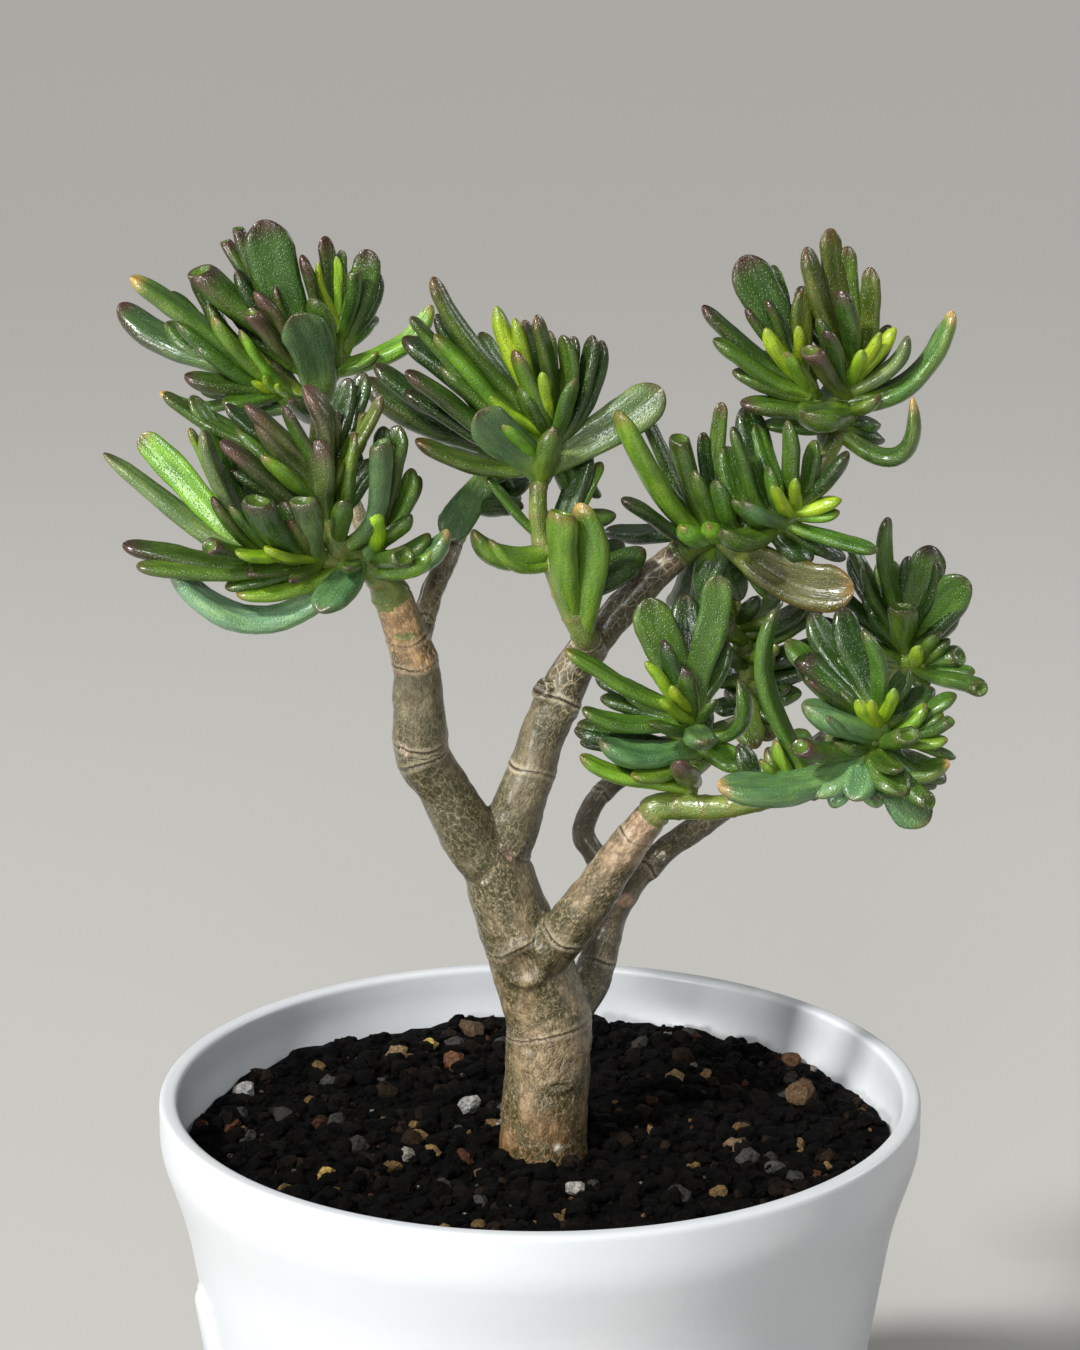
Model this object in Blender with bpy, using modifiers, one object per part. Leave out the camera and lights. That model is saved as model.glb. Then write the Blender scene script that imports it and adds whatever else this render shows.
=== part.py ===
"""A jade bonsai with finger-like leaves, standing in a round white pot.

Lengths are in metres. +X is to the right and +Y away from the viewer, as the plant was photographed.
+Z is up, and the origin is the middle of the pot's foot.
The branches and the leaves that the photograph shows are written down where they show in it, in its
pixels. The pot's rim sets the size of a pixel, so the rim's radius drives the size of the whole plant.
"""

import math

import bmesh
import bpy
import numpy as np
from mathutils import Vector

for old in list(bpy.data.objects):
    bpy.data.objects.remove(old, do_unlink=True)

# The pot
RIM_RADIUS = 0.0750
POT_HEIGHT = 0.1300
WALL = 0.0036
LIP_ROUNDING = 0.0010
RIM_BAND = 0.0095
SHOULDER_DROP = 0.0240
SHOULDER_RADIUS = 0.0703
FOOT_RADIUS = 0.0530
FOOT_RING_WIDTH = 0.0070
FOOT_RECESS = 0.0020
FOOT_BEVEL = 0.0012
FLOOR = 0.0060
INNER_CORNER = 0.0040
BAND_TAPER = 0.0020
POT_SIDES = 36

# The relief on the pot's left flank: a spray of leaves that fan out from one place.
RELIEF_BEARING = math.radians(196.0)
RELIEF_BASE = 0.0560
RELIEF_LENGTH = 0.0330
RELIEF_START = 0.2
RELIEF_WIDTH = 0.0140
RELIEF_HEIGHT = 0.0022
RELIEF_LEANS = (-72.0, -36.0, 0.0, 36.0, 72.0)
RELIEF_OUTLINE = ((0.0, 0.30), (0.30, 0.85), (0.65, 1.0), (0.92, 0.45))
RELIEF_SIDES = 8
RELIEF_FROM = 0.0520
RELIEF_TO = 0.0960

# The soil
SOIL_DROP = 0.0112
SOIL_DISH = 0.0012
SOIL_BUMP = 0.0011
SOIL_RINGS = (0.0110, 0.0180, 0.0270, 0.0370, 0.0480, 0.0590)
SOIL_SIDES = 26
SOIL_SEED = 3
STONE_RISE = 0.35
STONE_FLATNESS = 0.75
GAP = 0.0003
TRUNK_HOLE_RADIUS = 0.0094
TRUNK_HOLE_DEPTH = 0.0260
TRUNK_HOLE_SIDES = 20
CUT_ALLOWANCE = 0.0100

# Materials: colour and roughness
PAINTS = {
    "white_ceramic": ((0.88, 0.89, 0.91), 0.35),
    "soil": ((0.035, 0.028, 0.022), 0.95),
    "bark": ((0.30, 0.24, 0.15), 0.75),
    "leaf": ((0.10, 0.24, 0.07), 0.35),
}

# The photograph, in its pixels, counted to the right and down
FOCAL_PIXELS = 3750.0
PHOTO_MIDDLE = (540.0, 675.0)
RIM_HALF_WIDTH_PIXELS = 377.0
EYE_RISE = math.radians(21.0)
EYE_TILT = math.radians(14.75)
PIXEL = RIM_RADIUS / RIM_HALF_WIDTH_PIXELS
EYE = Vector(
    (
        0.0,
        -math.cos(EYE_RISE) * FOCAL_PIXELS * PIXEL,
        POT_HEIGHT + math.sin(EYE_RISE) * FOCAL_PIXELS * PIXEL,
    )
)
LOOK = Vector((0.0, math.cos(EYE_TILT), -math.sin(EYE_TILT)))

# Woody branches: right, down, away from the viewer, half width, all in photo pixels.
WOOD = {
    "main": (
        (543, 1150, -15, 44),
        (545, 1095, -15, 43),
        (549, 1030, -10, 43),
        (541, 995, -10, 42),
        (529, 958, -15, 41),
        (511, 912, -20, 37),
        (497, 868, -25, 34),
        (492, 842, -26, 27),
    ),
    "left": (
        (497, 880, -25, 24),
        (470, 836, -35, 30),
        (443, 788, -45, 26),
        (422, 752, -55, 28),
        (419, 700, -65, 26),
        (415, 664, -70, 23),
        (405, 632, -75, 21),
        (392, 598, -82, 20),
    ),
    "left_back": (
        (414, 655, -66, 14),
        (428, 602, -40, 12),
        (445, 566, -10, 11),
        (456, 540, 15, 9),
    ),
    "far_left": (
        (412, 650, -60, 13),
        (396, 610, -22, 11),
        (378, 560, 22, 9),
        (352, 500, 50, 9),
        (335, 450, 60, 8),
    ),
    "middle": (
        (499, 876, -25, 24),
        (514, 820, -25, 27),
        (531, 772, -25, 24),
        (546, 728, -24, 23),
        (563, 690, -20, 22),
        (580, 660, -18, 20),
        (596, 640, -14, 17),
        (622, 608, -6, 17),
        (652, 577, 2, 16),
        (677, 556, 8, 15),
    ),
    "middle_spur": (
        (596, 652, -14, 14),
        (592, 646, -28, 14),
        (587, 639, -44, 13),
    ),
    "right_front": (
        (540, 960, -25, 24),
        (570, 926, -52, 25),
        (598, 888, -68, 22),
        (628, 846, -82, 19),
        (652, 815, -92, 17),
    ),
    "right_back": (
        (552, 1022, 0, 24),
        (588, 985, 32, 21),
        (604, 938, 50, 18),
        (620, 899, 62, 15),
        (652, 862, 78, 13),
        (690, 832, 95, 13),
        (730, 806, 105, 12),
        (785, 772, 108, 11),
        (840, 728, 102, 11),
        (882, 690, 92, 10),
    ),
    "back": (
        (614, 905, 62, 12),
        (600, 864, 86, 12),
        (583, 832, 98, 12),
        (597, 800, 104, 11),
        (624, 776, 108, 10),
        (662, 752, 106, 9),
        (705, 735, 98, 9),
        (736, 724, 88, 9),
    ),
}
WOOD_SIDES = {"main": 12, "left": 9, "middle": 9, "right_front": 9}
SMALL_WOOD_SIDES = 6
STEM_SIDES = 6
STEPS_TO_A_SPAN = 2
NECK_LENGTH = 0.0010
NECK_SHARE = 0.96

# Stones that stand out of the soil: right, down and half width in photo pixels.
STONES = (
    (800, 1098, 16),
    (455, 1068, 15),
    (472, 1034, 13),
    (822, 1056, 12),
    (398, 1058, 12),
    (430, 1048, 9),
    (677, 1082, 11),
    (707, 1080, 10),
    (470, 1108, 12),
    (243, 1094, 11),
    (575, 1192, 10),
    (326, 1178, 10),
    (735, 1150, 12),
)

# The heads of leaves, those nearest to the viewer first. "stems" holds lines of (right, down, away, half
# width) and the first of them goes on from the woody branch named in "on". "leaves" holds, for each leaf,
# the tip (right, down), the place it grows from (right, down), its width, how far the tip comes toward
# the viewer, how far its middle bows to the left of the way it points, and its form.
HEADS = {
    "head_left_front": {
        "on": "left",
        "stems": (
            (
                (380, 577, -95, 15),
                (358, 560, -110, 13),
                (335, 540, -122, 12),
                (322, 500, -124, 9),
                (318, 470, -122, 7),
            ),
            (
                (345, 560, -112, 10),
                (295, 558, -128, 9),
                (250, 552, -132, 7),
            ),
            (
                (362, 566, -104, 10),
                (380, 540, -100, 8),
                (378, 500, -98, 6),
            ),
        ),
        "leaves": (
            (103, 453, 290, 556, 38, -10, 12, "spoon"),
            (140, 435, 252, 545, 28, -30, 0, "finger"),
            (122, 545, 300, 575, 28, 10, 6, "finger"),
            (168, 562, 345, 578, 34, 30, 44, "finger"),
            (320, 612, 346, 575, 36, 62, 0, "cup"),
            (448, 530, 362, 578, 34, 20, -12, "finger"),
            (303, 386, 330, 500, 32, 20, -20, "finger"),
            (284, 406, 320, 500, 20, 40, -8, "finger"),
            (245, 405, 320, 480, 26, 30, -8, "finger"),
            (190, 396, 268, 535, 22, -20, -8, "finger"),
            (220, 442, 305, 520, 28, 40, 0, "finger"),
            (262, 456, 324, 500, 24, 50, 0, "cup"),
            (382, 396, 336, 510, 20, 10, 6, "finger"),
            (346, 400, 340, 480, 14, -30, 0, "finger"),
            (380, 442, 348, 545, 26, 40, -12, "cup"),
            (398, 425, 380, 525, 24, -20, 0, "finger"),
            (412, 468, 388, 545, 22, -10, -5, "finger"),
            (212, 497, 262, 550, 20, 30, 0, "finger"),
            (230, 506, 285, 555, 20, 45, 0, "finger"),
            (258, 500, 300, 556, 34, 66, 0, "cup"),
            (302, 500, 325, 555, 28, 60, 0, "cup"),
            (209, 545, 262, 562, 22, 44, 0, "cup"),
            (236, 552, 300, 568, 18, 50, 0, "finger"),
            (266, 548, 322, 560, 18, 60, 0, "finger"),
            (290, 582, 325, 575, 14, 50, 0, "young"),
            (378, 508, 372, 550, 18, 46, 0, "young"),
            (404, 556, 372, 560, 26, 52, 0, "cup"),
            (346, 568, 352, 565, 20, 56, 0, "cup"),
            (236, 428, 318, 500, 30, -10, 0, "finger"),
            (356, 432, 340, 530, 26, 10, 0, "finger"),
            (318, 440, 324, 520, 26, 30, 0, "finger"),
            (225, 588, 332, 572, 22, 20, 0, "finger"),
        ),
        "hidden": 5,
    },
    "head_right_front": {
        "on": "right_front",
        "stems": (
            (
                (668, 806, -96, 14),
                (720, 807, -112, 12),
                (775, 796, -128, 11),
                (835, 778, -140, 10),
                (868, 748, -140, 10),
                (880, 722, -134, 8),
            ),
            (
                (668, 806, -96, 10),
                (688, 792, -92, 9),
                (692, 765, -90, 8),
                (697, 740, -90, 9),
                (690, 708, -90, 7),
            ),
            (
                (868, 748, -140, 9),
                (898, 738, -132, 7),
            ),
        ),
        "leaves": (
            (565, 650, 686, 706, 22, 20, 4, "finger"),
            (582, 709, 688, 722, 24, 24, 6, "finger"),
            (600, 741, 694, 748, 36, 36, 8, "finger"),
            (580, 756, 690, 790, 24, 30, 0, "finger"),
            (632, 776, 692, 768, 22, 40, 0, "finger"),
            (577, 724, 692, 752, 28, -40, 0, "finger"),
            (645, 662, 688, 706, 16, 30, 0, "young"),
            (684, 668, 694, 716, 22, 30, 0, "finger"),
            (647, 598, 692, 712, 38, -10, 0, "spoon"),
            (718, 575, 698, 720, 30, 6, 0, "spoon"),
            (703, 742, 697, 728, 30, 62, 0, "cup"),
            (738, 680, 697, 738, 24, 20, -24, "finger"),
            (750, 765, 697, 742, 30, 30, 0, "finger"),
            (660, 700, 692, 720, 14, 40, 0, "young"),
            (862, 630, 884, 728, 26, 24, -14, "finger"),
            (804, 706, 878, 730, 44, 44, 0, "cup"),
            (808, 680, 876, 722, 18, 36, 0, "finger"),
            (802, 658, 876, 722, 26, -10, 0, "cup"),
            (777, 608, 806, 778, 26, 20, 16, "finger"),
            (800, 746, 866, 752, 26, 44, 0, "cup"),
            (718, 786, 850, 772, 44, 46, 8, "finger"),
            (815, 797, 866, 752, 34, 30, 0, "finger"),
            (852, 800, 868, 750, 34, 44, 0, "finger"),
            (928, 824, 870, 748, 40, 24, 0, "spoon"),
            (950, 762, 876, 752, 28, 10, -16, "finger"),
            (956, 758, 884, 738, 14, 0, 6, "finger"),
            (908, 734, 884, 742, 26, 48, 0, "cup"),
            (950, 720, 892, 738, 16, 20, 0, "cup"),
            (957, 695, 890, 738, 22, 0, 6, "finger"),
            (894, 688, 880, 726, 14, 30, 0, "young"),
            (930, 803, 876, 750, 20, 50, 0, "cup"),
            (845, 652, 878, 730, 28, -30, 0, "spoon"),
            (622, 692, 690, 716, 24, -10, 0, "finger"),
            (664, 640, 692, 708, 26, 30, 0, "finger"),
            (834, 742, 874, 746, 26, 30, 0, "finger"),
            (926, 704, 888, 736, 24, 14, 0, "finger"),
            (904, 795, 868, 750, 32, 50, 0, "finger"),
            (908, 668, 882, 724, 22, -10, 0, "finger"),
        ),
        "hidden": 5,
    },
    "head_middle": {
        "on": "middle_spur",
        "stems": (
            (
                (579, 624, -52, 13),
                (568, 598, -54, 14),
                (552, 558, -50, 12),
                (541, 538, -48, 10),
                (538, 500, -46, 9),
                (541, 470, -42, 9),
                (549, 440, -38, 8),
                (550, 415, -36, 6),
            ),
        ),
        "leaves": (
            (432, 277, 548, 446, 26, 10, 0, "finger"),
            (410, 317, 546, 450, 20, 10, 0, "finger"),
            (434, 335, 546, 446, 26, 30, 0, "finger"),
            (480, 332, 548, 440, 22, -30, 0, "finger"),
            (405, 372, 545, 458, 27, 34, 0, "finger"),
            (415, 440, 544, 466, 24, 26, 8, "finger"),
            (478, 412, 546, 474, 40, 66, 0, "spoon"),
            (496, 306, 549, 430, 24, 20, 0, "young"),
            (515, 350, 549, 440, 22, 40, -4, "finger"),
            (536, 315, 550, 440, 22, 20, -10, "finger"),
            (562, 335, 552, 446, 22, 10, -10, "finger"),
            (593, 335, 550, 452, 22, 0, -10, "finger"),
            (662, 388, 548, 468, 34, -20, -4, "spoon"),
            (487, 478, 541, 538, 14, 0, 0, "finger"),
            (473, 530, 548, 552, 26, 30, 16, "finger"),
            (578, 503, 584, 632, 34, 34, -14, "finger"),
            (562, 512, 572, 620, 30, 44, 2, "cup"),
            (586, 505, 548, 452, 22, -34, 0, "finger"),
            (490, 396, 548, 440, 14, 40, 0, "young"),
            (455, 376, 546, 450, 32, -12, 0, "finger"),
            (522, 384, 549, 440, 26, 24, 0, "finger"),
            (576, 378, 550, 446, 22, 30, 0, "finger"),
        ),
        "hidden": 5,
    },
    "head_right_upper": {
        "on": "middle",
        "stems": (
            (
                (694, 545, 4, 12),
                (718, 534, -4, 11),
                (752, 534, -12, 10),
                (786, 522, -16, 9),
                (800, 502, -14, 8),
                (818, 472, 0, 8),
                (836, 438, 14, 9),
                (846, 402, 20, 8),
                (852, 368, 22, 6),
            ),
            (
                (836, 430, 14, 8),
                (812, 396, 18, 7),
                (802, 368, 22, 5),
            ),
        ),
        "leaves": (
            (742, 256, 806, 376, 38, 0, 0, "spoon"),
            (772, 265, 806, 376, 16, -20, 0, "finger"),
            (702, 306, 808, 388, 24, 10, 0, "finger"),
            (713, 340, 810, 394, 28, 26, 0, "finger"),
            (746, 308, 806, 378, 18, 30, 0, "finger"),
            (767, 300, 806, 376, 16, 20, 0, "finger"),
            (766, 328, 808, 388, 20, 44, 0, "young"),
            (798, 326, 806, 376, 14, 40, 0, "young"),
            (803, 290, 806, 372, 22, 10, 0, "finger"),
            (806, 247, 848, 380, 30, 10, 0, "finger"),
            (830, 228, 850, 372, 24, -10, 0, "finger"),
            (840, 290, 850, 372, 22, 34, -6, "finger"),
            (870, 267, 852, 374, 20, 0, -8, "finger"),
            (818, 318, 849, 384, 18, 40, 0, "finger"),
            (826, 331, 848, 388, 18, 50, 0, "finger"),
            (810, 350, 847, 394, 24, 50, 0, "cup"),
            (896, 327, 851, 382, 18, 10, 0, "young"),
            (908, 336, 849, 392, 24, 20, -8, "cup"),
            (953, 311, 846, 404, 28, 16, -20, "finger"),
            (912, 397, 838, 432, 26, 24, -38, "finger"),
            (880, 424, 842, 420, 22, -24, 0, "finger"),
            (806, 414, 842, 414, 44, 60, 0, "cup"),
            (740, 404, 838, 420, 28, 20, -8, "finger"),
            (618, 411, 706, 540, 32, 40, 0, "finger"),
            (644, 412, 706, 540, 18, 0, 0, "finger"),
            (680, 438, 712, 536, 28, 20, 0, "cup"),
            (716, 480, 738, 534, 24, 30, 0, "finger"),
            (722, 402, 722, 534, 15, -20, 6, "finger"),
            (732, 427, 772, 528, 22, 20, 0, "finger"),
            (788, 420, 798, 508, 26, 20, 0, "finger"),
            (848, 452, 798, 508, 26, 26, 0, "finger"),
            (745, 502, 782, 524, 28, 46, 0, "cup"),
            (842, 500, 796, 512, 18, 20, 0, "young"),
            (878, 551, 784, 524, 20, 26, 0, "finger"),
            (724, 530, 774, 528, 32, 60, 10, "finger"),
            (854, 588, 722, 534, 38, 50, -16, "spoon"),
            (812, 562, 772, 528, 30, 10, 0, "finger"),
            (682, 527, 708, 538, 26, 36, 0, "cup"),
            (708, 526, 722, 534, 22, 40, 0, "cup"),
            (622, 500, 700, 542, 24, -30, 0, "finger"),
            (605, 530, 720, 534, 26, -84, -4, "finger"),
            (776, 296, 808, 384, 32, -24, 0, "finger"),
            (824, 286, 848, 384, 30, -20, 0, "finger"),
            (880, 396, 842, 414, 22, 30, 0, "finger"),
            (664, 468, 708, 538, 28, -10, 0, "finger"),
            (694, 470, 720, 534, 24, 26, 0, "finger"),
            (748, 452, 778, 524, 24, -20, 0, "finger"),
            (768, 466, 788, 520, 20, 20, 0, "finger"),
            (700, 598, 726, 536, 26, -10, 0, "finger"),
        ),
        "hidden": 5,
    },
    "head_left_back": {
        "on": "far_left",
        "stems": (
            (
                (330, 432, 62, 7),
                (322, 402, 64, 8),
                (308, 372, 62, 8),
                (292, 348, 60, 6),
            ),
            (
                (322, 405, 64, 7),
                (280, 392, 72, 8),
                (240, 372, 80, 7),
            ),
            (
                (318, 395, 64, 7),
                (340, 360, 66, 8),
                (338, 322, 70, 6),
            ),
        ),
        "leaves": (
            (262, 219, 298, 356, 46, 10, 0, "spoon"),
            (238, 228, 292, 352, 14, -24, 0, "cup"),
            (225, 241, 290, 352, 14, -30, 0, "cup"),
            (200, 270, 292, 352, 36, 10, 0, "cup"),
            (192, 276, 262, 382, 18, -16, 0, "finger"),
            (130, 277, 280, 392, 30, 20, -8, "finger"),
            (213, 316, 286, 392, 26, 44, 0, "finger"),
            (120, 303, 240, 372, 36, -54, 6, "cup"),
            (166, 322, 244, 376, 30, -30, 0, "finger"),
            (195, 346, 270, 390, 26, 30, 0, "finger"),
            (254, 292, 304, 368, 28, 36, -6, "finger"),
            (250, 312, 302, 368, 22, 46, 0, "cup"),
            (292, 316, 326, 396, 44, 56, -8, "spoon"),
            (312, 298, 338, 366, 26, 44, 0, "finger"),
            (301, 255, 338, 344, 20, 20, 0, "finger"),
            (324, 236, 339, 340, 18, 0, 0, "finger"),
            (354, 270, 340, 346, 18, 20, 0, "cup"),
            (342, 250, 339, 330, 12, -10, 0, "finger"),
            (367, 249, 341, 356, 27, 0, -4, "cup"),
            (432, 305, 336, 370, 28, 0, -14, "finger"),
            (378, 352, 334, 376, 14, 20, 0, "finger"),
            (184, 376, 276, 394, 28, 20, 0, "finger"),
            (160, 392, 262, 386, 16, 0, 14, "finger"),
            (176, 322, 274, 390, 28, 26, 0, "finger"),
            (228, 300, 298, 370, 34, -24, 0, "finger"),
            (222, 402, 286, 394, 22, 30, 0, "finger"),
        ),
        "hidden": 5,
    },
    "head_between": {
        "on": "left_back",
        "stems": (
            (
                (468, 508, 22, 9),
                (490, 472, 22, 8),
                (504, 440, 24, 6),
            ),
        ),
        "leaves": (
            (446, 540, 490, 474, 32, 20, 0, "spoon"),
            (364, 379, 502, 448, 42, 10, 6, "finger"),
            (520, 500, 496, 460, 16, -30, 0, "finger"),
        ),
        "hidden": 3,
    },
    "head_right_inner": {
        "on": "back",
        "stems": (
            (
                (748, 712, 84, 9),
                (750, 680, 78, 10),
                (744, 648, 74, 11),
                (738, 616, 72, 8),
            ),
        ),
        "leaves": (
            (722, 622, 742, 642, 24, 40, 0, "cup"),
            (770, 648, 746, 658, 22, 36, 0, "cup"),
            (722, 652, 746, 664, 20, 40, 0, "cup"),
            (758, 748, 750, 690, 28, 40, -6, "finger"),
            (776, 738, 750, 684, 24, 20, -10, "finger"),
            (700, 612, 742, 640, 24, 0, 0, "finger"),
            (806, 604, 742, 632, 26, 0, -6, "finger"),
            (796, 648, 748, 668, 24, 0, 0, "finger"),
            (768, 690, 750, 680, 22, 44, 0, "cup"),
            (728, 692, 750, 702, 24, 20, 0, "finger"),
            (790, 688, 752, 690, 24, 20, 0, "finger"),
            (776, 612, 740, 628, 22, 20, 0, "finger"),
            (756, 596, 738, 622, 20, 30, 0, "finger"),
        ),
        "hidden": 5,
    },
    "head_right_back": {
        "on": "right_back",
        "stems": (
            (
                (898, 668, 84, 9),
                (908, 640, 78, 8),
                (910, 610, 74, 6),
            ),
            (
                (898, 668, 84, 8),
                (925, 662, 58, 6),
            ),
        ),
        "leaves": (
            (888, 517, 906, 640, 21, 10, 6, "cup"),
            (930, 545, 908, 640, 34, -10, 0, "spoon"),
            (937, 560, 910, 640, 20, 20, -4, "finger"),
            (968, 579, 912, 652, 36, 34, 0, "spoon"),
            (902, 606, 906, 650, 28, 46, 0, "cup"),
            (960, 656, 906, 662, 25, 30, 0, "cup"),
            (983, 689, 912, 666, 20, 76, 0, "cup"),
            (975, 673, 914, 664, 16, 30, 0, "finger"),
            (863, 592, 904, 648, 18, 0, 0, "finger"),
            (818, 620, 900, 664, 26, 0, 0, "finger"),
            (845, 537, 904, 642, 16, -20, 0, "finger"),
            (920, 646, 912, 664, 14, 40, 0, "young"),
            (868, 640, 904, 660, 24, 20, 0, "finger"),
            (890, 560, 906, 645, 24, -20, 0, "finger"),
            (940, 632, 912, 662, 20, 30, 0, "finger"),
        ),
        "hidden": 5,
    },
}

# A leaf's form: rings of (share of the length, half width, half thickness), the last two as shares of the
# width; how deep the tip is dished; how many sides it has; and whether its face is turned to the viewer.
# A narrow and nearly straight finger takes the slim form.
FORMS = {
    "finger": {
        "rings": ((0.18, 0.44, 0.36), (0.72, 0.53, 0.42), (0.96, 0.42, 0.34)),
        "dish": 0.0,
        "sides": 5,
        "faces": False,
    },
    "slim": {
        "rings": ((0.18, 0.58, 0.50), (0.90, 0.64, 0.54)),
        "dish": 0.0,
        "sides": 4,
        "faces": False,
    },
    "cup": {
        "rings": ((0.20, 0.38, 0.32), (0.78, 0.51, 0.42), (0.98, 0.48, 0.42)),
        "dish": 0.28,
        "sides": 5,
        "faces": False,
    },
    "spoon": {
        "rings": ((0.20, 0.42, 0.24), (0.60, 0.52, 0.23), (0.88, 0.46, 0.20)),
        "dish": 0.0,
        "sides": 6,
        "faces": True,
    },
    "young": {
        "rings": ((0.35, 0.62, 0.52), (0.84, 0.46, 0.40)),
        "dish": 0.0,
        "sides": 4,
        "faces": False,
    },
}
ROOT_SHARE = -0.06
SLIM_WIDTH = 0.0048
SLIM_BOW = 0.0018
LEAST_THICKNESS = 0.0011
SEATS_TO_A_SPAN = 5
SHARE_STEP = 0.05

# Which way a leaf's upper side looks, before it is squared to the leaf
TO_VIEWER = Vector((0.0, -1.0, 0.25))
SKYWARD = Vector((0.0, -0.05, 1.0))
INWARD_LEAN = 0.5

# Leaves on the side that the photograph doesn't show: how they are drawn
HIDDEN_SEED = 7
HIDDEN_LENGTH = (0.013, 0.020)
HIDDEN_WIDTH = (0.0040, 0.0062)
HIDDEN_SEAT = (0.4, 1.0)
HIDDEN_WANDER = 0.3
HIDDEN_RISE = (-5.0, 65.0)
HIDDEN_BACKWARD = (0.35, 0.8)
GOLDEN_TURN = math.radians(137.5)

# How a leaf is moved nearer or farther, in pixels, until balls that fill it are clear of other pieces
REACH_STEPS = (0, 12, -12, 24, -24, 36, -36, 50, -50, 66, -66, 84, -84)
CLEARANCE = 0.0004
LEAF_BALLS = 10
LEAF_BALL_FROM = 0.15
LEAF_BALL_SIZES = (0.35, 0.17)


def seen(right, down, away):
    """The point that shows at this pixel, that many pixels behind the middle of the pot."""
    across = (right - PHOTO_MIDDLE[0]) / FOCAL_PIXELS
    below = (down - PHOTO_MIDDLE[1]) / FOCAL_PIXELS
    forward = math.cos(EYE_TILT) - below * math.sin(EYE_TILT)
    upward = -math.sin(EYE_TILT) - below * math.cos(EYE_TILT)
    reach = (away * PIXEL - EYE.y) / forward
    return EYE + reach * Vector((across, forward, upward))


def pixel_at(point):
    """What one pixel of the photograph measures at this point."""
    return (point - EYE).dot(LOOK) / FOCAL_PIXELS


def real(rows):
    """Rows of (right, down, away, half width) in pixels as points and radii in metres."""
    points = [seen(right, down, away) for right, down, away, _ in rows]
    return [(p, row[3] * pixel_at(p)) for p, row in zip(points, rows)]


def smooth(line, steps):
    """Points and radii along a smooth curve through a line of them, steps to a span."""
    knots = np.array([(*point, radius) for point, radius in line])
    knots = np.vstack([2 * knots[0] - knots[1], knots, 2 * knots[-1] - knots[-2]])
    found = []
    for k in range(1, len(knots) - 2):
        a, b, c, d = knots[k - 1 : k + 3]
        slope = c - a
        bend = 2 * a - 5 * b + 4 * c - d
        twist = 3 * b - a - 3 * c + d
        for step in range(steps):
            t = step / steps
            found.append(b + 0.5 * (slope * t + bend * t**2 + twist * t**3))
    found.append(knots[-2])
    return [(Vector(row[:3]), float(row[3])) for row in found]


def new_object(name, vertices, faces):
    """An object with this mesh and its faces turned outward, not yet in a collection."""
    mesh = bpy.data.meshes.new(name)
    mesh.from_pydata([tuple(v) for v in vertices], [], faces)
    work = bmesh.new()
    work.from_mesh(mesh)
    bmesh.ops.recalc_face_normals(work, faces=work.faces)
    work.to_mesh(mesh)
    work.free()
    return bpy.data.objects.new(name, mesh)


def loft(name, rings, start, end):
    """A closed skin through the rings, with a fan from the first to start and from the last to end."""
    sides = len(rings[0])
    points = [start, *(point for ring in rings for point in ring), end]
    last = 1 + (len(rings) - 1) * sides
    faces = []
    for i in range(sides):
        j = (i + 1) % sides
        faces.append((0, 1 + j, 1 + i))
        faces.append((last + i, last + j, len(points) - 1))
        for low in range(1, last, sides):
            faces.append((low + i, low + j, low + sides + j, low + sides + i))
    return new_object(name, points, faces)


def tube(name, line, sides):
    """A round bar along a line of points and radii."""
    points = [point for point, _ in line]
    side = Vector((1.0, 0.0, 0.0))
    rings = []
    for k, (point, radius) in enumerate(line):
        ahead = (points[min(k + 1, len(points) - 1)] - points[max(k - 1, 0)]).normalized()
        side = (side - ahead * side.dot(ahead)).normalized()
        other = ahead.cross(side)
        turns = [2 * math.pi * i / sides for i in range(sides)]
        rings.append([point + radius * (math.cos(a) * side + math.sin(a) * other) for a in turns])
    return loft(name, rings, points[0], points[-1])


def places_along(stem):
    """Closely spaced points along a stem, past its foot."""
    for (low, _), (high, _) in zip(stem[1:], stem[2:]):
        for step in range(SEATS_TO_A_SPAN):
            yield low.lerp(high, step / SEATS_TO_A_SPAN)
    yield stem[-1][0]


def nearest_seat(stems, right, down):
    """The point along the stems that shows nearest to this pixel."""
    places = [place for stem in stems for place in places_along(stem)]
    return min(places, key=lambda place: (seen(right, down, place.y / PIXEL) - place).length)


def centre_line(root, tip, bow, share):
    """The point at this share of a leaf that bows sideways, as seen by the viewer."""
    chord = tip - root
    left = Vector((-chord.z, 0.0, chord.x)).normalized()
    return root + chord * share + left * (4 * bow * share * (1 - share))


def upper_side(ahead, faces):
    """The way a leaf's upper side looks: inward and up, or to the viewer for a leaf seen on its face."""
    outward = Vector((ahead.x, ahead.y, 0.0))
    wish = TO_VIEWER if faces else SKYWARD - INWARD_LEAN * outward
    return (wish - ahead * wish.dot(ahead)).normalized()


def leaf(name, root, tip, width, bow, form):
    """One fleshy leaf from its root in the stem to its tip."""
    if form == "finger" and width < SLIM_WIDTH and abs(bow) < SLIM_BOW:
        form = "slim"
    shape = FORMS[form]
    sides = shape["sides"]
    rings = []
    for share, half_width, half_thickness in shape["rings"]:
        point = centre_line(root, tip, bow, share)
        before = centre_line(root, tip, bow, share - SHARE_STEP)
        ahead = (centre_line(root, tip, bow, share + SHARE_STEP) - before).normalized()
        up = upper_side(ahead, shape["faces"])
        across = ahead.cross(up)
        a, b = half_width * width, max(half_thickness * width, LEAST_THICKNESS / 2)
        turns = [2 * math.pi * (i + 0.5) / sides for i in range(sides)]
        rings.append([point + a * math.cos(t) * across + b * math.sin(t) * up for t in turns])
    end = point - ahead * shape["dish"] * width if shape["dish"] else tip
    return loft(name, rings, centre_line(root, tip, bow, ROOT_SHARE), end)


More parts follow.
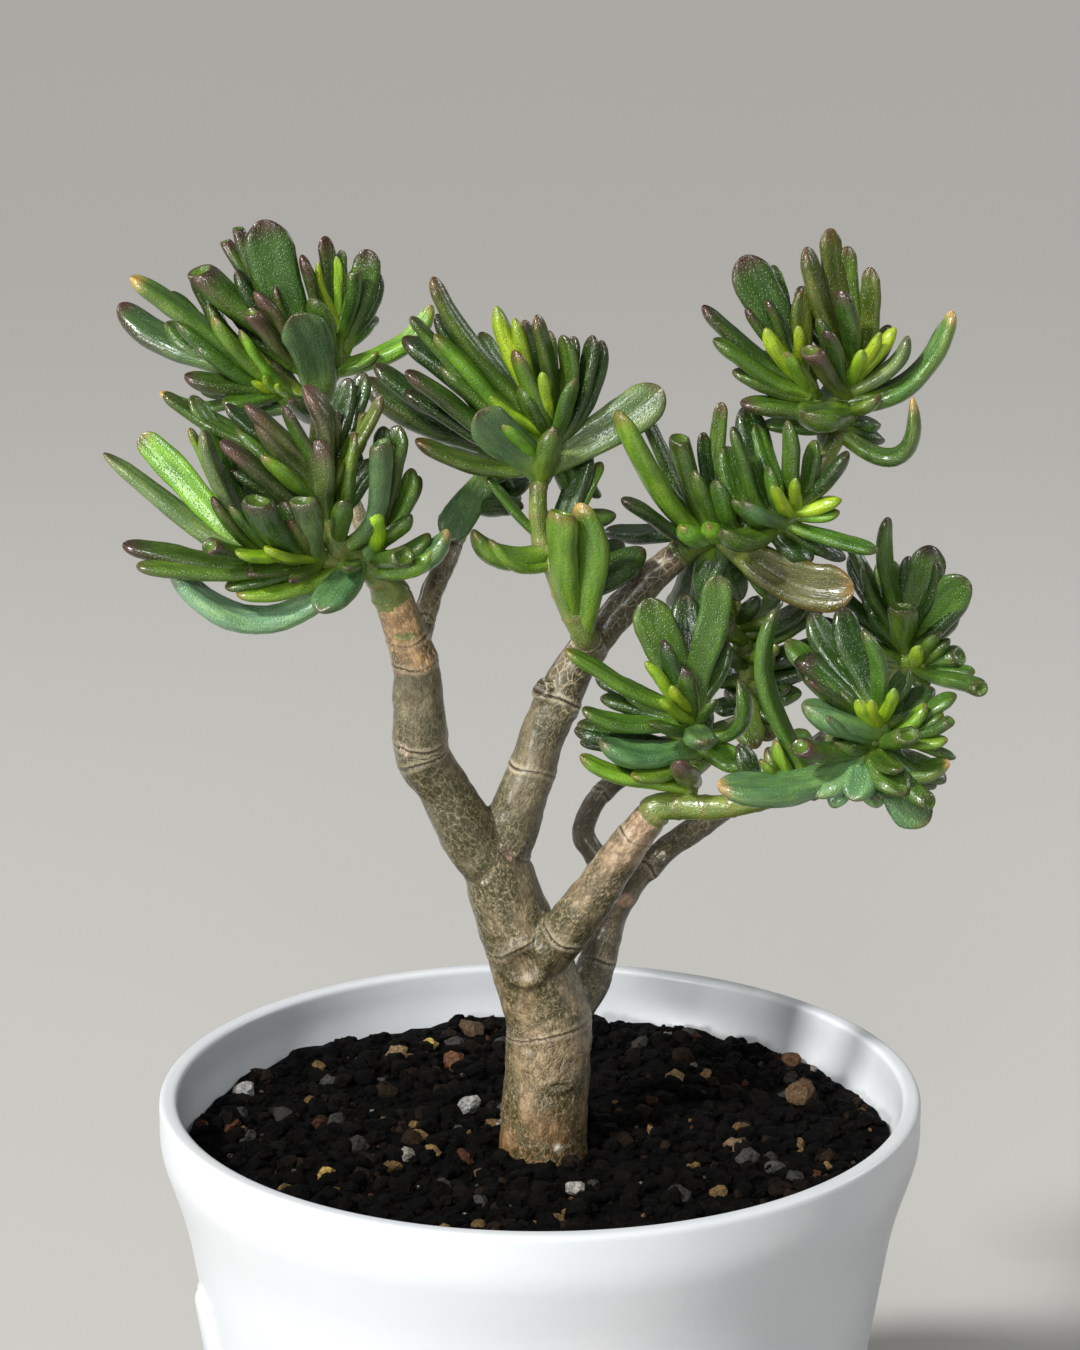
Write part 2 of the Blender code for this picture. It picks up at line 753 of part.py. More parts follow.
def balls_along(line):
    """Balls that fill a stem: their middles and radii."""
    found = []
    for (low, thick), (high, thin) in zip(line, line[1:]):
        shares = [step / SEATS_TO_A_SPAN for step in range(SEATS_TO_A_SPAN + 1)]
        found += [(np.array(low.lerp(high, share)), thick + share * (thin - thick)) for share in shares]
    return found


def leaf_balls(root, tip, width, bow):
    """Balls that fill a leaf, but for its root."""
    shares = np.linspace(LEAF_BALL_FROM, 1.0, LEAF_BALLS)
    size, growth = LEAF_BALL_SIZES
    return [(np.array(centre_line(root, tip, bow, s)), width * (size + growth * s)) for s in shares]


def clear(balls, taken):
    """Whether these balls stand clear of the balls of other pieces."""
    if not taken:
        return True
    middles = np.array([middle for middle, _ in taken])
    radii = np.array([radius for _, radius in taken])
    for middle, radius in balls:
        if (np.linalg.norm(middles - middle, axis=1) < radii + radius + CLEARANCE).any():
            return False
    return True


def shown_leaves(head, stems, taken):
    """The leaves that the photograph shows, each moved in depth only until it is clear of other pieces."""
    for tip_right, tip_down, right, down, width, reach, bow, form in head["leaves"]:
        root = nearest_seat(stems, right, down)
        for step in REACH_STEPS:
            tip = seen(tip_right, tip_down, root.y / PIXEL - reach - step)
            scale = pixel_at(tip)
            if clear(leaf_balls(root, tip, width * scale, bow * scale), taken):
                yield root, tip, width * scale, bow * scale, form
                break


def hidden_leaves(head, stems, taken, draw):
    """Leaves on the far side, turned by the golden angle from one to the next."""
    least, more = HIDDEN_BACKWARD
    for count in range(head["hidden"]):
        stem = stems[count % len(stems)]
        root = stem[int(draw.uniform(*HIDDEN_SEAT) * (len(stem) - 1))][0]
        turn = count * GOLDEN_TURN + draw.uniform(-HIDDEN_WANDER, HIDDEN_WANDER)
        rise = math.radians(draw.uniform(*HIDDEN_RISE))
        level = Vector((math.cos(turn), least + more * abs(math.sin(turn)), 0.0)) * math.cos(rise)
        direction = (level + Vector((0.0, 0.0, math.sin(rise)))).normalized()
        tip = root + direction * draw.uniform(*HIDDEN_LENGTH)
        width = draw.uniform(*HIDDEN_WIDTH)
        if clear(leaf_balls(root, tip, width, 0.0), taken):
            yield root, tip, width, 0.0, "finger"


def fuse(base, others):
    """Joins the others into the base, and removes them."""
    gathered = bpy.data.collections.new(base.name + "_repeats")
    bpy.context.scene.collection.children.link(gathered)
    for piece in others:
        gathered.objects.link(piece)
    join = base.modifiers.new("join", "BOOLEAN")
    join.operation = "UNION"
    join.solver = "MANIFOLD"
    join.operand_type = "COLLECTION"
    join.collection = gathered
    apply_modifiers(base)
    for piece in others:
        bpy.data.objects.remove(piece, do_unlink=True)
    bpy.data.collections.remove(gathered)
    keep_largest(base)


def apply_modifiers(piece):
    """Replaces a piece's mesh by what its modifiers make of it."""
    graph = bpy.context.evaluated_depsgraph_get()
    piece.data = bpy.data.meshes.new_from_object(piece.evaluated_get(graph))
    piece.modifiers.clear()


def keep_largest(piece):
    """Drops loose scraps and fills hollows that fusing has closed: only the largest skin stays."""
    work = bmesh.new()
    work.from_mesh(piece.data)
    left = set(work.verts)
    skins = []
    while left:
        group = [left.pop()]
        for vertex in group:
            for edge in vertex.link_edges:
                other = edge.other_vert(vertex)
                if other in left:
                    left.remove(other)
                    group.append(other)
        skins.append(group)
    skins.sort(key=len, reverse=True)
    for group in skins[1:]:
        bmesh.ops.delete(work, geom=group, context="VERTS")
    work.to_mesh(piece.data)
    work.free()


def material(name):
    """A plain material, by its name."""
    colour, roughness = PAINTS[name]
    made = bpy.data.materials.new(name)
    made.use_nodes = True
    shader = made.node_tree.nodes["Principled BSDF"]
    shader.inputs["Base Color"].default_value = (*colour, 1.0)
    shader.inputs["Roughness"].default_value = roughness
    made.diffuse_color = (*colour, 1.0)
    return made


def dress(piece, paint):
    """Gives a piece its material and smooth shading."""
    piece.data.materials.clear()
    piece.data.materials.append(paint)
    for face in piece.data.polygons:
        face.use_smooth = True


def wall_radius(height):
    """The radius of the pot's outer wall below the shoulder."""
    share = height / (POT_HEIGHT - SHOULDER_DROP)
    return FOOT_RADIUS + share * (SHOULDER_RADIUS - FOOT_RADIUS)


def pot_profile():
    """The pot's section from the lip's outer edge down the outside and up the inside."""
    shoulder = POT_HEIGHT - SHOULDER_DROP
    outside = [
        (RIM_RADIUS - LIP_ROUNDING, POT_HEIGHT),
        (RIM_RADIUS, POT_HEIGHT - LIP_ROUNDING),
        (RIM_RADIUS, POT_HEIGHT - RIM_BAND),
        (SHOULDER_RADIUS, shoulder),
        (wall_radius(RELIEF_TO), RELIEF_TO),
        (wall_radius(RELIEF_FROM), RELIEF_FROM),
        (wall_radius(FOOT_BEVEL), FOOT_BEVEL),
        (FOOT_RADIUS - FOOT_BEVEL, 0.0),
        (FOOT_RADIUS - FOOT_RING_WIDTH, 0.0),
        (FOOT_RADIUS - FOOT_RING_WIDTH - FOOT_BEVEL, FOOT_RECESS),
        (0.0, FOOT_RECESS),
    ]
    corner = FLOOR + INNER_CORNER
    inside = [
        (0.0, FLOOR),
        (FOOT_RADIUS - WALL - INNER_CORNER, FLOOR),
        (wall_radius(corner) - WALL, corner),
        (SHOULDER_RADIUS - WALL, shoulder),
        (RIM_RADIUS - WALL, POT_HEIGHT - RIM_BAND + BAND_TAPER),
        (RIM_RADIUS - WALL, POT_HEIGHT - LIP_ROUNDING),
        (RIM_RADIUS - WALL + LIP_ROUNDING, POT_HEIGHT),
    ]
    return outside, inside


def turned(name, profile, sides):
    """A profile of (radius, height) turned about the upright axis."""
    mesh = bpy.data.meshes.new(name)
    edges = [(i, (i + 1) % len(profile)) for i in range(len(profile))]
    mesh.from_pydata([(radius, 0.0, height) for radius, height in profile], edges, [])
    made = bpy.data.objects.new(name, mesh)
    screw = made.modifiers.new("turn", "SCREW")
    screw.steps = sides
    screw.render_steps = sides
    screw.use_merge_vertices = True
    screw.merge_threshold = 0.00005
    screw.use_normal_calculate = True
    return made


def relief_leaf(lean):
    """One low leaf on the pot's wall, leaning by this many degrees from upright."""
    turn = math.radians(lean)
    turns = [2 * math.pi * i / RELIEF_SIDES for i in range(RELIEF_SIDES)]
    rings = []
    for share, width in RELIEF_OUTLINE:
        along = RELIEF_LENGTH * (RELIEF_START + share)
        height = RELIEF_BASE + along * math.cos(turn)
        radius = wall_radius(height)
        bearing = RELIEF_BEARING + along * math.sin(turn) / radius
        normal = Vector((math.cos(bearing), math.sin(bearing), 0.0))
        level = Vector((-math.sin(bearing), math.cos(bearing), 0.0))
        across = level * math.cos(turn) - Vector((0.0, 0.0, 1.0)) * math.sin(turn)
        point = normal * radius + Vector((0.0, 0.0, height))
        side = across * RELIEF_WIDTH * width / 2
        rings.append([point + math.cos(t) * side + math.sin(t) * RELIEF_HEIGHT * normal for t in turns])
    ends = [sum(ring, Vector()) / len(ring) for ring in (rings[0], rings[-1])]
    return loft("relief", rings, *ends)


def build_pot(paint):
    """The pot, turned, with a spray of low leaves on its left flank."""
    outside, inside = pot_profile()
    pot = turned("pot", outside + inside, POT_SIDES)
    bpy.context.scene.collection.objects.link(pot)
    apply_modifiers(pot)
    fuse(pot, [relief_leaf(lean) for lean in RELIEF_LEANS])
    bpy.context.scene.collection.objects.unlink(pot)
    dress(pot, paint)
    return pot


def soil_outline():
    """The soil's section below its top, inside the pot's wall and clear of it by the gap."""
    _, inside = pot_profile()
    top = POT_HEIGHT - SOIL_DROP
    within = [(max(radius - GAP, 0.0), max(height, FLOOR + GAP)) for radius, height in inside]
    below = [point for point in within if point[1] < top]
    low, high = below[-1], within[len(below)]
    share = (top - low[1]) / (high[1] - low[1])
    return below, (low[0] + share * (high[0] - low[0]), top)


def ring_of(radius, heights):
    """Points around the upright axis, one at each of these heights."""
    turns = [2 * math.pi * i / len(heights) for i in range(len(heights))]
    return [Vector((radius * math.cos(t), radius * math.sin(t), z)) for t, z in zip(turns, heights)]


def build_soil(paint, trunk_foot):
    """The soil: a lumpy top with stones, and a plain hole for the trunk."""
    draw = np.random.default_rng(SOIL_SEED)
    below, (edge_radius, top) = soil_outline()
    rings = [ring_of(radius, [height] * SOIL_SIDES) for radius, height in below[1:]]
    rings.append(ring_of(edge_radius, [top] * SOIL_SIDES))
    for radius in reversed(SOIL_RINGS):
        level = top - SOIL_DISH * (1 - radius / edge_radius)
        rings.append(ring_of(radius, level + draw.uniform(-SOIL_BUMP, SOIL_BUMP, SOIL_SIDES)))
    soil = loft("soil", rings, Vector((0.0, 0.0, below[0][1])), Vector((0.0, 0.0, top - SOIL_DISH)))
    bpy.context.scene.collection.objects.link(soil)
    fuse(soil, [stone(*row) for row in STONES])
    ends = (top - TRUNK_HOLE_DEPTH, top + CUT_ALLOWANCE)
    line = [(Vector((trunk_foot.x, trunk_foot.y, height)), TRUNK_HOLE_RADIUS) for height in ends]
    cut_away(soil, tube("trunk_hole", line, TRUNK_HOLE_SIDES))
    bpy.context.scene.collection.objects.unlink(soil)
    dress(soil, paint)
    return soil


def stone(right, down, half):
    """A rough, flattened stone partly sunk in the soil's top, where it shows at this pixel."""
    sight = seen(right, down, 0.0) - EYE
    point = EYE + sight * ((POT_HEIGHT - SOIL_DROP - EYE.z) / sight.z)
    radius = half * pixel_at(point)
    work = bmesh.new()
    bmesh.ops.create_icosphere(work, subdivisions=1, radius=radius)
    for vertex in work.verts:
        vertex.co.z = vertex.co.z * STONE_FLATNESS + radius * STONE_RISE
        vertex.co += point
    mesh = bpy.data.meshes.new("stone")
    work.to_mesh(mesh)
    work.free()
    return bpy.data.objects.new("stone", mesh)


def cut_away(piece, cutter):
    """Cuts one closed shape out of a piece and removes it."""
    bpy.context.scene.collection.objects.link(cutter)
    cut = piece.modifiers.new("cut", "BOOLEAN")
    cut.operation = "DIFFERENCE"
    cut.solver = "EXACT"
    cut.object = cutter
    apply_modifiers(piece)
    bpy.data.objects.remove(cutter, do_unlink=True)
    keep_largest(piece)


def wood_lines():
    """The smooth line of each woody branch. The trunk's foot goes straight down in the soil."""
    lines = {name: smooth(real(rows), STEPS_TO_A_SPAN) for name, rows in WOOD.items()}
    start, radius = lines["main"][0]
    bottom = POT_HEIGHT - SOIL_DROP - TRUNK_HOLE_DEPTH + GAP
    lines["main"].insert(0, (Vector((start.x, start.y, bottom)), radius))
    return lines


def build_trunk(paint, lines):
    """The trunk and every woody branch, in one piece."""
    sides = [WOOD_SIDES.get(name, SMALL_WOOD_SIDES) for name in lines]
    trunk, *rest = [tube("trunk", line, count) for line, count in zip(lines.values(), sides)]
    bpy.context.scene.collection.objects.link(trunk)
    fuse(trunk, rest)
    bpy.context.scene.collection.objects.unlink(trunk)
    dress(trunk, paint)
    return trunk


def green_lines(head, lines):
    """The stems of a head. The first goes on, past a fine gap, from the end of its woody branch."""
    first, *others = [real(rows) for rows in head["stems"]]
    stems = [smooth(stem, STEPS_TO_A_SPAN) for stem in others]
    (before, _), (end, radius) = lines[head["on"]][-2:]
    ahead = (end - before).normalized()
    foot, neck = [(end + ahead * rise, radius * NECK_SHARE) for rise in (GAP, GAP + NECK_LENGTH)]
    return [[foot, *smooth([neck, *first], STEPS_TO_A_SPAN)], *stems]


def plan_heads(lines):
    """The stems of every head, and its leaves as (root, tip, width, bow, form)."""
    draw = np.random.default_rng(HIDDEN_SEED)
    stems = {name: green_lines(head, lines) for name, head in HEADS.items()}
    balls = {name: [ball for stem in stems[name] for ball in balls_along(stem)] for name in HEADS}
    balls["wood"] = [ball for line in lines.values() for ball in balls_along(line)]
    leaves = {}
    for name, head in HEADS.items():
        taken = [ball for other in balls if other != name for ball in balls[other]]
        found = list(shown_leaves(head, stems[name], taken))
        found += hidden_leaves(head, stems[name], taken, draw)
        balls[name] += [ball for row in found for ball in leaf_balls(*row[:4])]
        leaves[name] = found
    return stems, leaves


def build_head(name, stems, leaves, paint):
    """One head: its green stems and its leaves in one piece."""
    shoot, *rest = [tube(name, stem, STEM_SIDES) for stem in stems]
    bpy.context.scene.collection.objects.link(shoot)
    fuse(shoot, rest + [leaf("leaf", *row) for row in leaves])
    bpy.context.scene.collection.objects.unlink(shoot)
    dress(shoot, paint)
    return shoot


def build():
    """The whole plant in its pot."""
    whole = bpy.data.collections.new("jade_bonsai")
    bpy.context.scene.collection.children.link(whole)
    lines = wood_lines()
    made = [
        build_pot(material("white_ceramic")),
        build_soil(material("soil"), lines["main"][0][0]),
        build_trunk(material("bark"), lines),
    ]
    stems, leaves = plan_heads(lines)
    green = material("leaf")
    made += [build_head(name, stems[name], leaves[name], green) for name in HEADS]
    for piece in made:
        whole.objects.link(piece)


build()
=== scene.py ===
"""Looks of the jade bonsai: glazed pot, crumbly soil, ringed bark and waxy leaves, in studio light.

Lengths are in metres, in the frame of the solids. Each branch and leaf is placed as in the solids, from
where the photograph shows it, and is given a finer skin and its colours there.
"""

import math

import bmesh
import bpy
import numpy as np
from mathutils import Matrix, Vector, noise


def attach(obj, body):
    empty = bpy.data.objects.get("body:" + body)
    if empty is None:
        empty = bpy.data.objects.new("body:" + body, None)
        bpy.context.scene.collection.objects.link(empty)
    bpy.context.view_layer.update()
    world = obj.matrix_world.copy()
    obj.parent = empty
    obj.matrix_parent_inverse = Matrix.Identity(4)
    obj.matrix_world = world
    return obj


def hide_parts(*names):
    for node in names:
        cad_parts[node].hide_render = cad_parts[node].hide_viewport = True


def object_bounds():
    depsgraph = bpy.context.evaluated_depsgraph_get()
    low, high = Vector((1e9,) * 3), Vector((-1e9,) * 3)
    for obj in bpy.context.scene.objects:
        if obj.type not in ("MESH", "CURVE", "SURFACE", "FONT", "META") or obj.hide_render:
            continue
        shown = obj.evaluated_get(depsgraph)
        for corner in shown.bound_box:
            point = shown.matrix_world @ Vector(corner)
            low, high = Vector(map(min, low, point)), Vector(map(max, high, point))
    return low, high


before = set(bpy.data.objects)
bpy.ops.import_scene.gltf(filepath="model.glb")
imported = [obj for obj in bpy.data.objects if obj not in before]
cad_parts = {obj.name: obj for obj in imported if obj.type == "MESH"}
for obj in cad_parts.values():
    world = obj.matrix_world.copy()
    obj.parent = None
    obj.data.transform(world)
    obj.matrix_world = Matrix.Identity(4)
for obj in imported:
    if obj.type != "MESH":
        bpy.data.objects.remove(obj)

CAD_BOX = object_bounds()
BODY = "root"

# The pot
RIM_RADIUS = 0.0750
POT_HEIGHT = 0.1300
WALL = 0.0036
LIP_ROUNDING = 0.0010
LIP_SOFTNESS = 1.3
RIM_BAND = 0.0095
SHOULDER_DROP = 0.0240
SHOULDER_RADIUS = 0.0703
FOOT_RADIUS = 0.0530
FOOT_RING_WIDTH = 0.0070
FOOT_RECESS = 0.0020
FOOT_BEVEL = 0.0012
FLOOR = 0.0060
INNER_CORNER = 0.0040
BAND_TAPER = 0.0020
BAND_SOFTNESS = 0.0030
SHOULDER_SOFTNESS = 0.0060
EDGE_SOFTNESS = 0.0008
POT_SIDES = 300
WALL_STEP = 0.0011
TINY = 1e-6
# The relief on the pot's left flank: a spray of leaves that fan out from one place.
RELIEF_BEARING = math.radians(196.0)
RELIEF_BASE = 0.0560
RELIEF_LENGTH = 0.0330
RELIEF_START = 0.2
RELIEF_WIDTH = 0.0140
RELIEF_HEIGHT = 0.0020
RELIEF_LEANS = (-72.0, -36.0, 0.0, 36.0, 72.0)
RELIEF_OUTLINE = (
    (-0.04, 0.0), (0.0, 0.32), (0.30, 0.85), (0.62, 1.0), (0.86, 0.72), (0.97, 0.30), (1.0, 0.0),
)
RELIEF_STEEPNESS = 4
RELIEF_RIB = 0.10
RELIEF_RIB_WIDTH = 0.0008

# The soil
SOIL_DROP = 0.0112
SOIL_DISH = 0.0012
SOIL_RADIUS = 0.0700
SOIL_SEED = 11
CRUMBS = 4200
CRUMB_RADII = (0.0006, 0.0026)
CRUMB_SIZE_POWER = 2.6
CRUMB_CLEAR = 1.3
CRUMB_RISES = (-0.1, 0.45)
CRUMB_FLATNESS = (0.55, 0.85)
CRUMB_NARROWNESS = (0.65, 1.0)
CRUMB_ROUGHNESS = 0.24
CRUMB_LEAN = 0.5
CRUMB_TURNS = (1.0, 1.0, 6.0)
CRUMB_SHADES = (0.7, 1.3)
LARGE_CRUMB = 0.0014
BED_DEPTH = 0.0200
BED_MIDDLE = 0.0010
BED_SIDES = 200
BED_RINGS = 90
BED_LUMPS = ((0.0013, 0.0110), (0.0009, 0.0045), (0.0005, 0.0018))
STONE_RISE = 0.35
STONE_CLEAR = 1.4
STONE_FLATNESS = 0.75
TRUNK_HOLE_DEPTH = 0.0260
TRUNK_CLEAR = 0.0086
GAP = 0.0003

# The photograph, in its pixels, counted to the right and down
PHOTO_WIDTH = 1080
PHOTO_HEIGHT = 1350
FOCAL_PIXELS = 3750.0
SENSOR = 36.0
PHOTO_MIDDLE = (PHOTO_WIDTH / 2, PHOTO_HEIGHT / 2)
RIM_HALF_WIDTH_PIXELS = 377.0
EYE_RISE = math.radians(21.0)
EYE_TILT = math.radians(14.75)
PIXEL = RIM_RADIUS / RIM_HALF_WIDTH_PIXELS
EYE = Vector(
    (
        0.0,
        -math.cos(EYE_RISE) * FOCAL_PIXELS * PIXEL,
        POT_HEIGHT + math.sin(EYE_RISE) * FOCAL_PIXELS * PIXEL,
    )
)
LOOK = Vector((0.0, math.cos(EYE_TILT), -math.sin(EYE_TILT)))

# Woody branches: right, down, away from the viewer, half width, all in photo pixels.
WOOD = {
    "main": (
        (543, 1150, -15, 44), (545, 1095, -15, 43), (549, 1030, -10, 43), (541, 995, -10, 42),
        (529, 958, -15, 41), (511, 912, -20, 37), (497, 868, -25, 34), (492, 842, -26, 27),
    ),
    "left": (
        (497, 880, -25, 24), (470, 836, -35, 30), (443, 788, -45, 26), (422, 752, -55, 28),
        (419, 700, -65, 26), (415, 664, -70, 23), (405, 632, -75, 21), (392, 598, -82, 20),
    ),
    "left_back": (
        (414, 655, -66, 14), (428, 602, -40, 12), (445, 566, -10, 11), (456, 540, 15, 9),
    ),
    "far_left": (
        (412, 650, -60, 13), (396, 610, -22, 11), (378, 560, 22, 9), (352, 500, 50, 9), (335, 450, 60, 8),
    ),
    "middle": (
        (499, 876, -25, 24), (514, 820, -25, 27), (531, 772, -25, 24), (546, 728, -24, 23),
        (563, 690, -20, 22), (580, 660, -18, 20), (596, 640, -14, 17), (622, 608, -6, 17),
        (652, 577, 2, 16), (677, 556, 8, 15),
    ),
    "middle_spur": (
        (596, 652, -14, 14), (592, 646, -28, 14), (587, 639, -44, 13),
    ),
    "right_front": (
        (540, 960, -25, 24), (570, 926, -52, 25), (598, 888, -68, 22), (628, 846, -82, 19),
        (652, 815, -92, 17),
    ),
    "right_back": (
        (552, 1022, 0, 24), (588, 985, 32, 21), (604, 938, 50, 18), (620, 899, 62, 15), (652, 862, 78, 13),
        (690, 832, 95, 13), (730, 806, 105, 12), (785, 772, 108, 11), (840, 728, 102, 11),
        (882, 690, 92, 10),
    ),
    "back": (
        (614, 905, 62, 12), (600, 864, 86, 12), (583, 832, 98, 12), (597, 800, 104, 11),
        (624, 776, 108, 10), (662, 752, 106, 9), (705, 735, 98, 9), (736, 724, 88, 9),
    ),
}
STEPS_TO_A_SPAN = 2
FINE_STEPS = 8

# Stones that stand out of the soil: right, down and half width in photo pixels.
STONES = (
    (800, 1098, 16), (455, 1068, 15), (472, 1034, 13), (822, 1056, 12), (398, 1058, 12), (430, 1048, 9),
    (677, 1082, 11), (707, 1080, 10), (470, 1108, 12), (243, 1094, 11), (575, 1192, 10), (326, 1178, 10),
    (735, 1150, 12),
)

